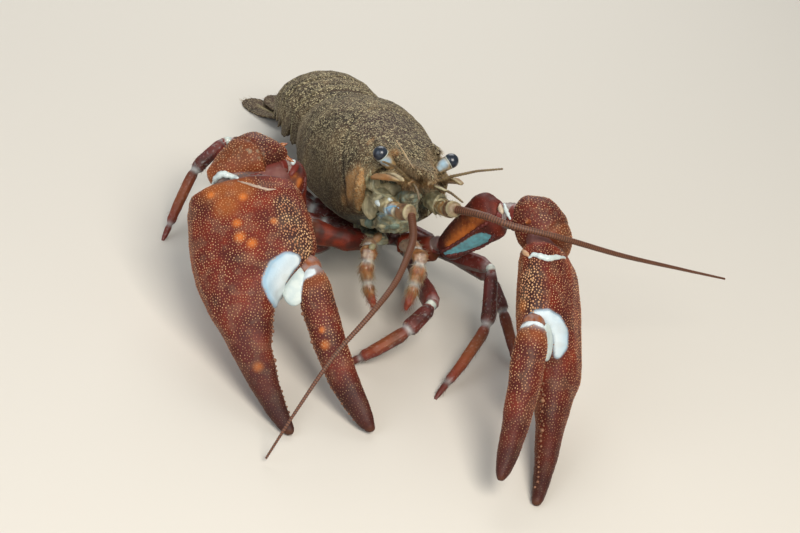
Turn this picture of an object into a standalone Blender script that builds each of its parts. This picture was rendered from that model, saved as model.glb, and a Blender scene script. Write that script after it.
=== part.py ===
"""Signal crayfish, a large male, as a still life-size model standing with both claws set down in front.

Lengths below are millimetres and angles are degrees; MM turns them to metres in the mesh.
The head looks along -Y, +X is the animal's left and the ground is z = 0. Shapes of the trunk are
written in a body frame (origin at the tip of the rostrum, y to the tail, z up) that is pitched
head-up and lifted; limbs are written in the ground frame. One empty then carries every part, so
that the middle of the model's footprint comes to the origin.
"""

import math

import bmesh
import bpy
from mathutils import Matrix, Vector

MM = 0.001
GAP = 0.35
FOOTPRINT_SHIFT = Vector((-16.47, -38.92, 0.0))
FOOT_RADIUS = 0.5

# Trunk
CARAPACE_LENGTH = 65.0
BODY_PITCH = 12.0
ROSTRUM_HEIGHT = 47.0
EYE_CENTRE = {"right": (9.3, 13.0, 1.5), "left": (8.8, 12.8, 0.9)}
CORNEA_RADIUS = 1.85

# Abdomen: lengths of the six rings, then the curl of its top line at each ring's edge
RING_LENGTHS = (6.0, 9.0, 9.0, 9.0, 9.0, 10.0)
RING_PITCH = (4.0, 2.0, 8.0, 28.0, 48.0, 60.0, 34.0)
RING_HALF_WIDTH = (12.8, 14.2, 14.6, 14.2, 13.4, 12.0, 9.2)
RING_HEIGHT = (16.0, 17.5, 17.5, 16.8, 15.0, 11.5, 5.6)
ABDOMEN_TURN = 12.0
FRAME_STEP = 0.5
TELSON_LENGTH = 15.0
UROPOD_LENGTH = 16.5
ENDOPOD_ANGLE = 15.0
EXOPOD_ANGLE = 38.0
# Share of a blade's length over which its underside comes down, how much thinner its end is, and how
# much of its half-thickness stays above its level (the rest of the lowest ones is pressed flat)
BLADE_SETTLING = 0.62
BLADE_TAPER = 0.45
BLADE_LIFT = 0.9

# Walking legs, the second to the fifth pair: where the hip stands along the body, how thick each is
LEG_HIP_Y = {2: 33.0, 3: 40.0, 4: 47.0, 5: 54.0}
LEG_STOUTNESS = {2: 1.25, 3: 1.05, 4: 1.0, 5: 0.95}
HIP_X = 8.0
HIP_Z = -27.0

# Bow of the thigh between hip and knee, then knee, ankle and foot
LEG_POSE = {
    ("left", 2): ((3.2, -1.0, -5.8), (6.3, 4.3, 14.0), (-3.5, -1.4, 8.0), (-14.6, -1.6, 0.0)),
    ("left", 3): ((2.5, 0.5, -2.0), (23.7, 14.2, 19.0), (20.6, 2.4, 9.4), (4.2, -14.8, 0.0)),
    ("left", 4): ((4.0, 1.0, -1.5), (27.4, 20.3, 12.0), (29.0, 8.0, 6.5), (30.0, -4.0, 0.0)),
    ("left", 5): ((0.0, 0.0, -1.6), (27.0, 78.0, 15.0), (32.0, 90.0, 8.0), (25.0, 104.0, 0.0)),
    ("right", 2): ((0.0, -0.6, -3.4), (-38.5, 36.5, 11.5), (-41.0, 26.0, 7.5), (-38.0, 12.0, 0.0)),
    ("right", 3): ((0.0, 0.0, -1.6), (-36.0, 50.0, 18.0), (-42.0, 38.0, 9.5), (-41.0, 20.0, 0.0)),
    ("right", 4): ((0.0, 0.0, -1.6), (-33.0, 70.6, 20.0), (-42.0, 64.0, 13.0), (-50.5, 50.7, 0.0)),
    ("right", 5): ((0.0, 0.0, -1.6), (-24.0, 77.0, 16.0), (-26.0, 89.0, 8.0), (-19.0, 98.0, 0.0)),
}

# Joints of the two claw limbs
CLAW_POSE = {
    "right": {
        "hip": (-8.8, 30.0, 15.2),
        "ischium": (-18.5, 32.6, 16.0),
        "merus": (-22.3, 34.3, 17.2),
        "elbow": (-29.3, 30.5, 37.0),
        "wrist": (-40.0, 27.4, 31.0),
        "tip": (-35.1, -29.5, 0.9),
        "dactyl_tip": (-15.9, -28.7, 1.2),
        "palm_up": (-0.35, -0.45, 0.82),
        "merus_up": (0.35, 0.79, -0.1),
        "knuckle": (0.9, 3.6, 2.6),
    },
    "left": {
        "hip": (8.8, 30.0, 15.2),
        "ischium": (11.5, 26.0, 16.4),
        "merus": (13.0, 23.0, 17.0),
        "elbow": (22.3, 13.4, 38.8),
        "wrist": (30.6, 0.9, 31.1),
        "tip": (16.0, -54.0, 0.8),
        "dactyl_tip": (5.6, -53.6, 7.5),
        "palm_up": (0.754, -0.455, 0.471),
        "merus_up": (9.7, -13.1, -7.7),
        "knuckle": (1.6, 1.0, 2.0),
    },
}
# The left claw is a little narrower and arches upwards more
CLAW_BREADTH = {"right": 1.0, "left": 0.9}
CLAW_THICKNESS = {"right": 1.0, "left": 0.94}
CLAW_ARCH = {"right": 0.0, "left": 1.2}
# Root of the movable finger: share of the claw's length and distance inwards from its axis
DACTYL_PLACE = {"right": (0.39, 10.5), "left": (0.39, 10.6)}

# Long feelers: lengths that each is made in, rings along a length, radii
FEELER_LENGTHS = 3
FEELER_RINGS = 10
FEELER_BASE_RADIUS = 1.05
FEELER_TIP_RADIUS = 0.3
# Courses of the two long feelers, from the end of the peduncle to the tip
ANTENNA_COURSE = {
    "right": ((-3.5, 9.6, 36.5), (-4.8, 2.0, 34.8), (-8.0, -5.1, 34.0), (-12.6, -12.4, 31.0),
              (-19.7, -19.7, 27.0), (-28.0, -25.5, 20.0), (-36.3, -33.3, 12.0), (-43.2, -38.6, 1.3)),
    "left": ((7.3, 9.8, 38.1), (11.9, 2.5, 41.0), (17.0, -1.5, 41.2), (29.5, -4.0, 39.9),
             (47.7, -2.0, 34.6), (69.4, 4.0, 27.5), (86.0, 8.0, 22.5)),
}

SHELL_RED = (0.30, 0.035, 0.02)
SHELL_BROWN = (0.19, 0.12, 0.075)
LEG_RED = (0.26, 0.04, 0.035)
FACE_TAN = (0.42, 0.27, 0.16)
EYE_BLACK = (0.01, 0.012, 0.02)


def side_sign(side):
    return 1.0 if side == "left" else -1.0


def body(x, y, z):
    """A point of the body frame, in the ground frame."""
    lifted = Vector((x, y, z + ROSTRUM_HEIGHT))
    return Matrix.Rotation(math.radians(-BODY_PITCH), 3, "X") @ lifted


def body_direction(x, y, z):
    return Matrix.Rotation(math.radians(-BODY_PITCH), 3, "X") @ Vector((x, y, z))


def finish(name, colour, roughness=0.45):
    material = bpy.data.materials.new(name)
    material.use_nodes = True
    shader = material.node_tree.nodes["Principled BSDF"]
    shader.inputs["Base Color"].default_value = (*colour, 1.0)
    shader.inputs["Roughness"].default_value = roughness
    shader.inputs["Metallic"].default_value = 0.0
    return material


def power_ellipse(angle, half_width, half_height, power):
    """A point on a rounded box section; power 2 is an ellipse and more is squarer."""
    s = math.sin(angle)
    c = math.cos(angle)
    across = math.copysign(abs(s) ** (2.0 / power), s) * half_width
    rise = math.copysign(abs(c) ** (2.0 / power), c) * half_height
    return across, rise


def section_ring(centre, side, up, half_width, half_height, sides, power=2.0):
    ring = []
    for k in range(sides):
        angle = 2.0 * math.pi * (k + 0.5) / sides
        across, rise = power_ellipse(angle, half_width, half_height, power)
        ring.append(centre + side * across + up * rise)
    return ring


def solid_from_rings(name, rings, colour, roughness=0.45):
    """Closed body over rings of equal count, with a flat cap at each end, standing on its first ring."""
    sides = len(rings[0])
    origin = sum(rings[0], Vector()) / sides
    shell = bmesh.new()
    loops = [[shell.verts.new((point - origin) * MM) for point in ring] for ring in rings]
    for near, far in zip(loops, loops[1:]):
        for k in range(sides):
            after = (k + 1) % sides
            shell.faces.new((near[k], near[after], far[after], far[k]))
    shell.faces.new(loops[0])
    shell.faces.new(loops[-1])
    bmesh.ops.triangulate(shell, faces=shell.faces[:])
    bmesh.ops.recalc_face_normals(shell, faces=shell.faces[:])
    mesh = bpy.data.meshes.new(name)
    shell.to_mesh(mesh)
    shell.free()
    mesh.shade_smooth()
    mesh.set_sharp_from_angle(angle=math.radians(50.0))
    mesh.materials.append(finish(name, colour, roughness))
    part = bpy.data.objects.new(name, mesh)
    part.location = origin * MM
    bpy.context.scene.collection.objects.link(part)
    return part


def join(target, addition):
    """Unites an addition with the part it grows from and removes the addition."""
    union = target.modifiers.new("union", "BOOLEAN")
    union.operation = "UNION"
    union.solver = "EXACT"
    union.object = addition
    bpy.context.view_layer.update()
    seen = target.evaluated_get(bpy.context.evaluated_depsgraph_get())
    mesh = bpy.data.meshes.new_from_object(seen)
    target.modifiers.remove(union)
    target.data = mesh
    bpy.data.objects.remove(addition, do_unlink=True)
    return target


def course_point(points, fraction):
    """Point and direction at a fraction of the length of a smooth course through the points."""
    lengths = [(b - a).length for a, b in zip(points, points[1:])]
    goal = fraction * sum(lengths)
    span = 0
    while span < len(lengths) - 1 and goal > lengths[span]:
        goal -= lengths[span]
        span += 1
    t = goal / lengths[span]
    p1 = points[span]
    p2 = points[span + 1]
    p0 = points[span - 1] if span > 0 else p1 * 2.0 - p2
    p3 = points[span + 2] if span + 2 < len(points) else p2 * 2.0 - p1
    m1 = (p2 - p0) * (lengths[span] / ((p2 - p0).length or 1.0))
    m2 = (p3 - p1) * (lengths[span] / ((p3 - p1).length or 1.0))
    place = (
        p1 * (2 * t**3 - 3 * t**2 + 1)
        + m1 * (t**3 - 2 * t**2 + t)
        + p2 * (-2 * t**3 + 3 * t**2)
        + m2 * (t**3 - t**2)
    )
    along = (
        p1 * (6 * t**2 - 6 * t)
        + m1 * (3 * t**2 - 4 * t + 1)
        + p2 * (-6 * t**2 + 6 * t)
        + m2 * (3 * t**2 - 2 * t)
    )
    return place, along.normalized()


def limb(name, points, sections, up, sides, colour, power=2.0, foot=False):
    """Body swept along a course. A section is (fraction, half-width, half-height, side and up offset)."""
    rings = []
    for fraction, half_width, half_height, side_offset, up_offset in sections:
        place, along = course_point(points, fraction)
        side = along.cross(up).normalized()
        rise = side.cross(along).normalized()
        centre = place + side * side_offset + rise * up_offset
        rings.append(section_ring(centre, side, rise, half_width, half_height, sides, power))
    if foot:
        flat_foot(rings, points)
    return solid_from_rings(name, rings, colour)


def flat_foot(rings, points):
    """Lays the last ring of a limb level on the ground."""
    tip = Vector((points[-1].x, points[-1].y, 0.0))
    centre = sum(rings[-1], Vector()) / len(rings[-1])
    spread = [point - centre for point in rings[-1]]
    rings[-1] = [tip + Vector((s.x, s.y, 0.0)).normalized() * FOOT_RADIUS for s in spread]


def settle(part):
    """Presses what would sink below the ground flat onto it."""
    world = part.matrix_world if part.parent else Matrix.Translation(part.location)
    back = world.inverted()
    for vertex in part.data.vertices:
        place = world @ vertex.co
        if place.z < 0.0:
            place.z = 0.0
            vertex.co = back @ place


def joint_gap(before, joint, after, radius):
    """How far two ends of that radius draw back from a joint so that the bend keeps them apart."""
    into = (joint - before).normalized()
    out = (after - joint).normalized()
    bend = into.angle(out)
    return GAP * 0.5 + radius * math.tan(bend * 0.5)


def drawn_in(start, end, start_gap, end_gap):
    along = (end - start).normalized()
    return start + along * start_gap, end - along * end_gap


# Trunk
# Carapace stations: y, half-width, top, bottom, lean of the section backwards per mm down
CARAPACE_STATIONS = (
    (13.6, 11.4, 0.6, -20.0, 0.50),
    (17.0, 12.6, 1.8, -21.8, 0.42),
    (23.0, 13.4, 3.0, -23.6, 0.26),
    (31.0, 14.4, 3.9, -24.5, 0.10),
    (40.0, 15.8, 4.4, -24.6, 0.03),
    (48.0, 17.0, 4.6, -24.6, 0.0),
    (56.0, 16.6, 4.1, -24.0, 0.0),
    (62.0, 15.2, 2.4, -21.4, 0.0),
    (CARAPACE_LENGTH, 13.4, 0.8, -18.0, 0.0),
)
CARAPACE_SIDES = 24


def carapace_ring(y, half_width, top, bottom, lean):
    middle = (top + bottom) * 0.5
    ring = []
    for k in range(CARAPACE_SIDES):
        angle = 2.0 * math.pi * (k + 0.5) / CARAPACE_SIDES
        power = 2.15 if math.cos(angle) > 0.0 else 2.6
        across, rise = power_ellipse(angle, half_width, (top - bottom) * 0.5, power)
        z = middle + rise
        ring.append(body(across, y + lean * (top - z), z))
    return ring


# Rostrum stations: y, half-width, top, bottom
ROSTRUM_STATIONS = (
    (0.0, 0.35, 0.25, -0.3),
    (4.2, 1.0, 0.5, -0.7),
    (5.4, 2.3, 0.5, -0.8),
    (8.0, 2.7, 0.5, -1.4),
    (12.0, 3.6, 0.6, -2.2),
    (17.0, 4.6, 1.0, -2.8),
    (20.0, 4.8, 1.4, -2.6),
)


def make_carapace():
    rings = [carapace_ring(*station) for station in CARAPACE_STATIONS]
    carapace = solid_from_rings("carapace", rings, SHELL_BROWN)
    rings = []
    for y, half_width, top, bottom in ROSTRUM_STATIONS:
        centre = body(0.0, y, (top + bottom) * 0.5)
        ring = section_ring(centre, Vector((1, 0, 0)), body_direction(0, 0, 1), half_width,
                            (top - bottom) * 0.5, 8, 2.4)
        rings.append(ring)
    join(carapace, solid_from_rings("rostrum", rings, SHELL_BROWN))
    for x in (-7.0, 7.0):
        spine = (body(x, 24.0, 1.0), body(x * 0.99, 15.8, 1.5))
        sections = ((0.0, 0.9, 0.8, 0.0, 0.0), (0.5, 0.8, 0.7, 0.0, 0.0), (1.0, 0.25, 0.25, 0.0, 0.0))
        join(carapace, limb("spine", spine, sections, body_direction(0, 0, 1), 6, SHELL_BROWN))
    return carapace


def make_sternum():
    stations = ((28.0, 2.4, -25.0, -27.4), (33.0, 2.8, -25.0, -28.6), (56.0, 2.4, -25.0, -28.2),
                (60.0, 1.8, -25.0, -26.6))
    rings = []
    for y, half_width, top, bottom in stations:
        centre = body(0.0, y, (top + bottom) * 0.5)
        rings.append(section_ring(centre, Vector((1, 0, 0)), body_direction(0, 0, 1), half_width,
                                  (top - bottom) * 0.5, 8, 3.0))
    return solid_from_rings("sternum", rings, FACE_TAN)


# Face
def make_eye(side):
    s = side_sign(side)
    root = body(s * 5.8, 13.0, -1.7)
    x, y, z = EYE_CENTRE[side]
    centre = body(s * x, y, z)
    along = (centre - root).normalized()
    up = body_direction(0, 0, 1)
    stalk_end = centre - along * 0.5
    sections = ((0.0, 1.2, 1.2, 0.0, 0.0), (0.35, 1.5, 1.5, 0.0, 0.0), (0.75, 1.75, 1.75, 0.0, 0.0),
                (1.0, 1.6, 1.6, 0.0, 0.0))
    limb("eyestalk_" + side, (root, stalk_end), sections, up, 10, FACE_TAN)
    start = stalk_end + along * GAP
    end = centre + along * CORNEA_RADIUS
    dome = ((0.0, 1.0), (0.3, 0.98), (0.6, 0.8), (0.85, 0.5), (1.0, 0.16))
    sections = [(f, CORNEA_RADIUS * r, CORNEA_RADIUS * r, 0.0, 0.0) for f, r in dome]
    limb("cornea_" + side, (start, end), sections, up, 10, EYE_BLACK)


def make_antenna(side):
    s = side_sign(side)
    course = [Vector(point) for point in ANTENNA_COURSE[side]]
    base = body(s * 6.8, 15.6, -10.2)
    up = body_direction(0, 0, 1)
    joint = course[0]
    knuckle = base.lerp(joint, 0.55) + Vector((s * 0.6, -0.6, -0.8))
    sections = ((0.0, 2.7, 2.5, 0.0, 0.0), (0.3, 2.7, 2.5, 0.0, 0.0), (0.42, 2.0, 1.9, 0.0, 0.0),
                (0.5, 2.1, 2.0, 0.0, 0.0), (0.68, 1.7, 1.7, 0.0, 0.0), (0.76, 1.8, 1.8, 0.0, 0.0),
                (1.0, 1.35, 1.35, 0.0, 0.0))
    limb("antenna_peduncle_" + side, (base, knuckle, joint), sections, up, 10, FACE_TAN)
    total = sum((after - before).length for before, after in zip(course, course[1:]))
    start = joint_gap(knuckle, joint, course[1], 1.5 * FEELER_BASE_RADIUS) / total
    share = (1.0 - start) / FEELER_LENGTHS
    for number in range(FEELER_LENGTHS):
        low = start + share * number
        high = low + share - (GAP / total if number < FEELER_LENGTHS - 1 else 0.0)
        sections = []
        for k in range(FEELER_RINGS):
            f = low + (high - low) * k / (FEELER_RINGS - 1)
            radius = FEELER_BASE_RADIUS + (FEELER_TIP_RADIUS - FEELER_BASE_RADIUS) * f
            sections.append((f, radius, radius, 0.0, 0.0))
        limb(f"antenna_{side}_{number + 1}", course, sections, Vector((0, 0, 1)), 6, SHELL_RED)


def make_antennal_scale(side):
    s = side_sign(side)
    points = (body(s * 8.8, 15.8, -5.4), body(s * 8.7, 9.6, -2.9), body(s * 7.2, 0.6, -1.0))
    sections = ((0.0, 1.2, 0.6, 0.0, 0.0), (0.25, 2.2, 0.7, 0.0, 0.0), (0.55, 2.3, 0.6, 0.0, 0.0),
                (0.85, 1.2, 0.5, 0.0, 0.0), (1.0, 0.3, 0.3, 0.0, 0.0))
    limb("antennal_scale_" + side, points, sections, body_direction(s * 0.35, 0, 1), 8, FACE_TAN)


def make_antennule(side):
    s = side_sign(side)
    up = body_direction(0, 0, 1)
    root = body(s * 2.0, 15.2, -5.6)
    end = body(s * 2.5, 7.2, -3.6)
    sections = ((0.0, 1.5, 1.5, 0.0, 0.0), (0.4, 1.5, 1.4, 0.0, 0.0), (0.75, 1.2, 1.2, 0.0, 0.0),
                (1.0, 1.0, 1.0, 0.0, 0.0))
    peduncle = limb("antennule_" + side, (root, end), sections, up, 8, FACE_TAN)
    whip = ((0.0, 0.5), (0.3, 0.42), (0.65, 0.34), (1.0, 0.26))
    whips = (
        (end + body_direction(s * 0.45, 0.6, 0.3), body_direction(s * 0.62, -0.62, 0.42), 19.0),
        (end + body_direction(-s * 0.4, 0.6, -0.3), body_direction(s * 0.22, -0.95, 0.05), 15.0),
    )
    for root, heading, length in whips:
        middle = root + heading.normalized() * length * 0.5 + Vector((0, 0, 0.9))
        tip = root + heading.normalized() * length
        sections = [(f, r, r, 0.0, 0.0) for f, r in whip]
        join(peduncle, limb("whip", (root, middle, tip), sections, up, 6, FACE_TAN))


def make_mouth():
    """Epistome above the mouth, jaws and the folded inner mouthparts as one body."""
    stations = ((9.2, 1.6, -6.9, -8.0), (12.0, 2.6, -7.4, -10.4), (15.5, 3.0, -8.0, -14.0),
                (18.0, 5.2, -12.6, -18.2), (20.6, 5.8, -15.6, -21.6))
    rings = []
    for y, half_width, top, bottom in stations:
        centre = body(0.0, y, (top + bottom) * 0.5)
        rings.append(section_ring(centre, Vector((1, 0, 0)), body_direction(0, 0, 1), half_width,
                                  (top - bottom) * 0.5, 10, 2.4))
    return solid_from_rings("mouth", rings, FACE_TAN)


def make_maxilliped(side):
    s = side_sign(side)
    points = (
        body(s * 4.6, 23.4, -25.4),
        Vector((s * 6.6 - 0.8, 19.4, 19.4)),
        Vector((s * 6.6 - 1.9, 14.6, 14.6)),
        Vector((s * 4.0 - 1.9, 10.4, 8.0)),
    )
    sections = ((0.0, 1.5, 1.4, 0.0, 0.0), (0.2, 2.1, 1.8, 0.0, 0.0), (0.42, 2.1, 1.8, 0.0, 0.0),
                (0.5, 1.6, 1.5, 0.0, 0.0), (0.6, 1.7, 1.6, 0.0, 0.0), (0.8, 1.3, 1.3, 0.0, 0.0),
                (0.92, 1.0, 1.0, 0.0, 0.0), (1.0, 0.35, 0.35, 0.0, 0.0))
    limb("maxilliped_" + side, points, sections, Vector((0, -1, 0.6)), 8, FACE_TAN)


# Claw limbs
# Stations of palm and fixed finger: share of the claw, half-width, half-thickness, shift to the dactyl
PALM_STATIONS = (
    (0.00, 8.2, 4.6, -0.6),
    (0.025, 11.6, 6.0, -0.8),
    (0.08, 13.6, 6.9, -0.6),
    (0.19, 14.8, 7.3, -0.3),
    (0.30, 15.0, 7.4, -0.5),
    (0.365, 14.0, 7.3, -1.3),
    (0.42, 11.2, 7.1, -3.4),
    (0.475, 8.4, 6.7, -5.2),
    (0.53, 7.0, 5.2, -5.5),
    (0.66, 4.6, 3.6, -5.2),
    (0.80, 3.3, 2.7, -3.9),
    (0.91, 2.4, 2.1, -2.2),
    (0.98, 1.6, 1.4, -0.7),
    (1.00, 0.9, 0.9, -0.3),
)
# Stations of the dactyl: share, half-width, half-thickness, shift away from the fixed finger
DACTYL_STATIONS = (
    (0.00, 1.8, 2.6, 1.6),
    (0.06, 3.2, 3.7, 0.9),
    (0.13, 4.1, 4.1, 0.2),
    (0.25, 4.2, 4.1, -0.4),
    (0.45, 3.9, 3.8, -1.3),
    (0.65, 3.6, 3.2, -1.5),
    (0.82, 2.9, 2.6, -1.0),
    (0.94, 2.0, 1.8, -0.4),
    (1.00, 0.9, 0.8, 0.0),
)
# Stations of the limb joints: fraction, half-width, half-height, offsets aside and upwards
CARPUS_STATIONS = (
    (0.00, 2.4, 2.4, 0.0, 0.0),
    (0.12, 4.8, 5.0, 0.0, 0.0),
    (0.34, 6.4, 6.8, 0.0, 0.0),
    (0.60, 7.2, 7.0, 0.0, 0.0),
    (0.86, 8.2, 6.0, 0.0, 0.0),
    (1.00, 6.8, 4.4, 0.0, 0.0),
)
MERUS_STATIONS = (
    (0.00, 2.0, 2.6, 0.0, 0.0),
    (0.12, 2.8, 3.8, 0.0, 0.0),
    (0.45, 3.3, 5.0, 0.0, 0.0),
    (0.78, 3.9, 6.2, 0.0, 0.0),
    (0.93, 3.5, 5.4, 0.0, 0.0),
    (1.00, 2.0, 2.8, 0.0, 0.0),
)
ISCHIUM_STATIONS = (
    (0.00, 2.2, 2.2, 0.0, 0.0),
    (0.30, 2.8, 2.9, 0.0, 0.0),
    (0.48, 2.5, 2.6, 0.0, 0.0),
    (0.80, 3.2, 3.6, 0.0, 0.0),
    (1.00, 2.0, 2.6, 0.0, 0.0),
)
CLAW_JOINT_RADIUS = 2.6
WRIST_GAPS = 3.4


def make_claw_limb(side):
    s = side_sign(side)
    at = {key: Vector(value) for key, value in CLAW_POSE[side].items()}
    breadth = CLAW_BREADTH[side]
    thickness = CLAW_THICKNESS[side]
    start = body(s * 4.6, 27.6, -26.6)
    gap = joint_gap(at["ischium"], at["merus"], at["elbow"], CLAW_JOINT_RADIUS)
    _, ischium_end = drawn_in(at["ischium"], at["merus"], 0.0, gap)
    limb("claw_ischium_" + side, (start, at["hip"], at["ischium"], ischium_end), ISCHIUM_STATIONS,
         Vector((0, 0, 1)), 10, LEG_RED)
    elbow_gap = joint_gap(at["merus"], at["elbow"], at["wrist"], CLAW_JOINT_RADIUS)
    limb("claw_merus_" + side, drawn_in(at["merus"], at["elbow"], gap, elbow_gap), MERUS_STATIONS,
         at["merus_up"], 12, LEG_RED)

    axis = (at["tip"] - at["wrist"]).normalized()
    length = (at["tip"] - at["wrist"]).length
    up = (at["palm_up"] - axis * at["palm_up"].dot(axis)).normalized()
    inward = axis.cross(up)
    if inward.x * s > 0.0:
        inward.negate()
    elbow_start, _ = drawn_in(at["elbow"], at["wrist"], elbow_gap, 0.0)
    carpus_end = at["wrist"] - axis * GAP * WRIST_GAPS
    knuckle = elbow_start.lerp(carpus_end, 0.4) + at["knuckle"]
    carpus = [(f, w * breadth, t * thickness, a, u) for f, w, t, a, u in CARPUS_STATIONS]
    limb("claw_carpus_" + side, (elbow_start, knuckle, carpus_end - axis * 2.5, carpus_end), carpus, up, 12,
         SHELL_RED)

    rings = []
    for f, w, t, shift in PALM_STATIONS:
        centre = at["wrist"].lerp(at["tip"], f) + inward * shift * breadth
        centre += up * CLAW_ARCH[side] * math.sin(math.pi * f)
        rings.append(section_ring(centre, inward, inward.cross(axis).normalized(), w * breadth,
                                  t * thickness, 14, 2.2))
    settle(solid_from_rings("claw_palm_" + side, rings, SHELL_RED))

    share, aside = DACTYL_PLACE[side]
    root = at["wrist"] + axis * share * length + inward * aside
    root += up * CLAW_ARCH[side] * math.sin(math.pi * share)
    along = (at["dactyl_tip"] - root).normalized()
    across = (inward - along * inward.dot(along)).normalized()
    rings = []
    for f, w, t, shift in DACTYL_STATIONS:
        centre = root.lerp(at["dactyl_tip"], f) + across * shift
        rings.append(section_ring(centre, across, across.cross(along).normalized(), w * thickness,
                                  t * thickness, 12, 2.1))
    settle(solid_from_rings("claw_dactyl_" + side, rings, SHELL_RED))


# Walking legs
UPPER_STATIONS = (
    (0.00, 1.6, 1.6, 0.0, 0.0),
    (0.12, 2.2, 2.1, 0.0, 0.0),
    (0.24, 1.9, 1.9, 0.0, 0.0),
    (0.34, 1.7, 2.1, 0.0, 0.0),
    (0.46, 1.6, 1.9, 0.0, 0.0),
    (0.72, 1.8, 2.4, 0.0, 0.0),
    (0.94, 1.6, 2.1, 0.0, 0.0),
    (1.00, 1.0, 1.2, 0.0, 0.0),
)
LOWER_STATIONS = (
    (0.00, 0.9, 1.1, 0.0, 0.0),
    (0.06, 1.5, 1.7, 0.0, 0.0),
    (0.27, 1.7, 1.9, 0.0, 0.0),
    (0.36, 1.2, 1.4, 0.0, 0.0),
    (0.44, 1.4, 1.5, 0.0, 0.0),
    (0.70, 1.3, 1.4, 0.0, 0.0),
    (0.86, 0.9, 1.0, 0.0, 0.0),
    (0.96, 0.6, 0.7, 0.0, 0.0),
    (1.00, 0.5, 0.5, 0.0, 0.0),
)
KNEE_RADIUS = 1.2


def make_leg(side, pair):
    s = side_sign(side)
    bow, knee, ankle, foot = (Vector(point) for point in LEG_POSE[(side, pair)])
    start = body(s * 3.8, LEG_HIP_Y[pair], HIP_Z)
    hip = body(s * HIP_X, LEG_HIP_Y[pair], HIP_Z)
    thigh = hip.lerp(knee, 0.35) + bow
    gap = joint_gap(thigh, knee, ankle, KNEE_RADIUS * LEG_STOUTNESS[pair])
    _, upper_end = drawn_in(thigh, knee, 0.0, gap)
    limb(f"leg_{side}_{pair}_upper", (start, hip, thigh, upper_end), stout(UPPER_STATIONS, pair),
         Vector((0, 0, 1)), 8, LEG_RED)
    lower_start, _ = drawn_in(knee, ankle, gap, 0.0)
    outward = (knee - hip.lerp(foot, 0.5)).normalized()
    settle(limb(f"leg_{side}_{pair}_lower", (lower_start, ankle, foot), stout(LOWER_STATIONS, pair),
                outward, 8, LEG_RED, foot=True))


def stout(stations, pair):
    """The stations of a leg of normal build, as thick as that pair is."""
    share = LEG_STOUTNESS[pair]
    return [(f, w * share, h * share, aside, rise) for f, w, h, aside, rise in stations]


# Abdomen
def abdomen_frames():
    """Place, side, up and direction of the top line at every frame step from the carapace."""
    total = sum(RING_LENGTHS)
    edges = [sum(RING_LENGTHS[:k]) for k in range(len(RING_LENGTHS) + 1)]
    place = body(0.0, CARAPACE_LENGTH, 0.2)
    frames = []
    for number in range(int(total / FRAME_STEP) + 1):
        run = number * FRAME_STEP
        k = max(i for i in range(len(RING_LENGTHS)) if edges[i] <= run)
        share = (run - edges[k]) / RING_LENGTHS[k]
        pitch = math.radians(RING_PITCH[k] + (RING_PITCH[k + 1] - RING_PITCH[k]) * share)
        yaw = math.radians(ABDOMEN_TURN * (run / total) ** 2)
        along = Vector((math.sin(yaw) * math.cos(pitch), math.cos(yaw) * math.cos(pitch), -math.sin(pitch)))
        side = Vector((math.cos(yaw), -math.sin(yaw), 0.0))
        frames.append((place.copy(), side, side.cross(along), along))
        place += along * FRAME_STEP
    return frames


def tergite_ring(frame, offset, half_width, height, drop):
    """Arched section with a pleuron tip at each side; drop is how far the tips reach down, 0 to 1."""
    place, side, up, along = frame
    centre = place + along * offset
    arch = 11
    ring = []
    for k in range(arch):
        angle = math.pi * (k / (arch - 1) - 0.5)
        across = math.sin(angle) * half_width
        rise = (math.cos(angle) - 1.0) * height * 0.62
        if k in (0, arch - 1):
            rise = -height * drop
        ring.append(centre + side * across + up * rise)
    for share in (0.62, 0.3, -0.3, -0.62):
        ring.append(centre + side * half_width * share - up * height * 0.66)
    return ring


def make_abdomen():
    frames = abdomen_frames()
    edge = 0.0
    for k, length in enumerate(RING_LENGTHS):
        rings = []
        for share, drop, swell in ((0.0, 0.72, 0.97), (0.3, 0.96, 1.0), (0.7, 1.0, 1.0), (1.0, 0.74, 0.99)):
            half_width = RING_HALF_WIDTH[k] + (RING_HALF_WIDTH[k + 1] - RING_HALF_WIDTH[k]) * share
            height = RING_HEIGHT[k] + (RING_HEIGHT[k + 1] - RING_HEIGHT[k]) * share
            offset = GAP * 0.6 if share == 0.0 else 0.0
            offset = -GAP * 0.6 if share == 1.0 else offset
            frame = frames[round((edge + length * share) / FRAME_STEP)]
            rings.append(tergite_ring(frame, offset, half_width * swell, height, drop))
        segment = solid_from_rings(f"abdomen_{k + 1}", rings, SHELL_BROWN)
        if 1 <= k <= 4:
            add_pleopods(segment, frames[round((edge + length * 0.5) / FRAME_STEP)], k)
        edge += length
    return frames[-1]


def add_pleopods(segment, frame, k):
    """The pair of swimmerets under one ring, as paddles that hang back from the belly."""
    place, side, up, along = frame
    height = RING_HEIGHT[k]
    for s in (-1.0, 1.0):
        root = place + side * s * 5.2 - up * (height * 0.66 - 1.4)
        tip = root + along * 3.4 - up * (0.22 * height + 1.6) + side * s * 0.6
        sections = ((0.0, 1.3, 0.7, 0.0, 0.0), (0.5, 1.5, 0.6, 0.0, 0.0), (0.85, 1.1, 0.5, 0.0, 0.0),
                    (1.0, 0.5, 0.3, 0.0, 0.0))
        join(segment, limb("paddle", (root, tip), sections, up, 6, SHELL_BROWN))


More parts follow.
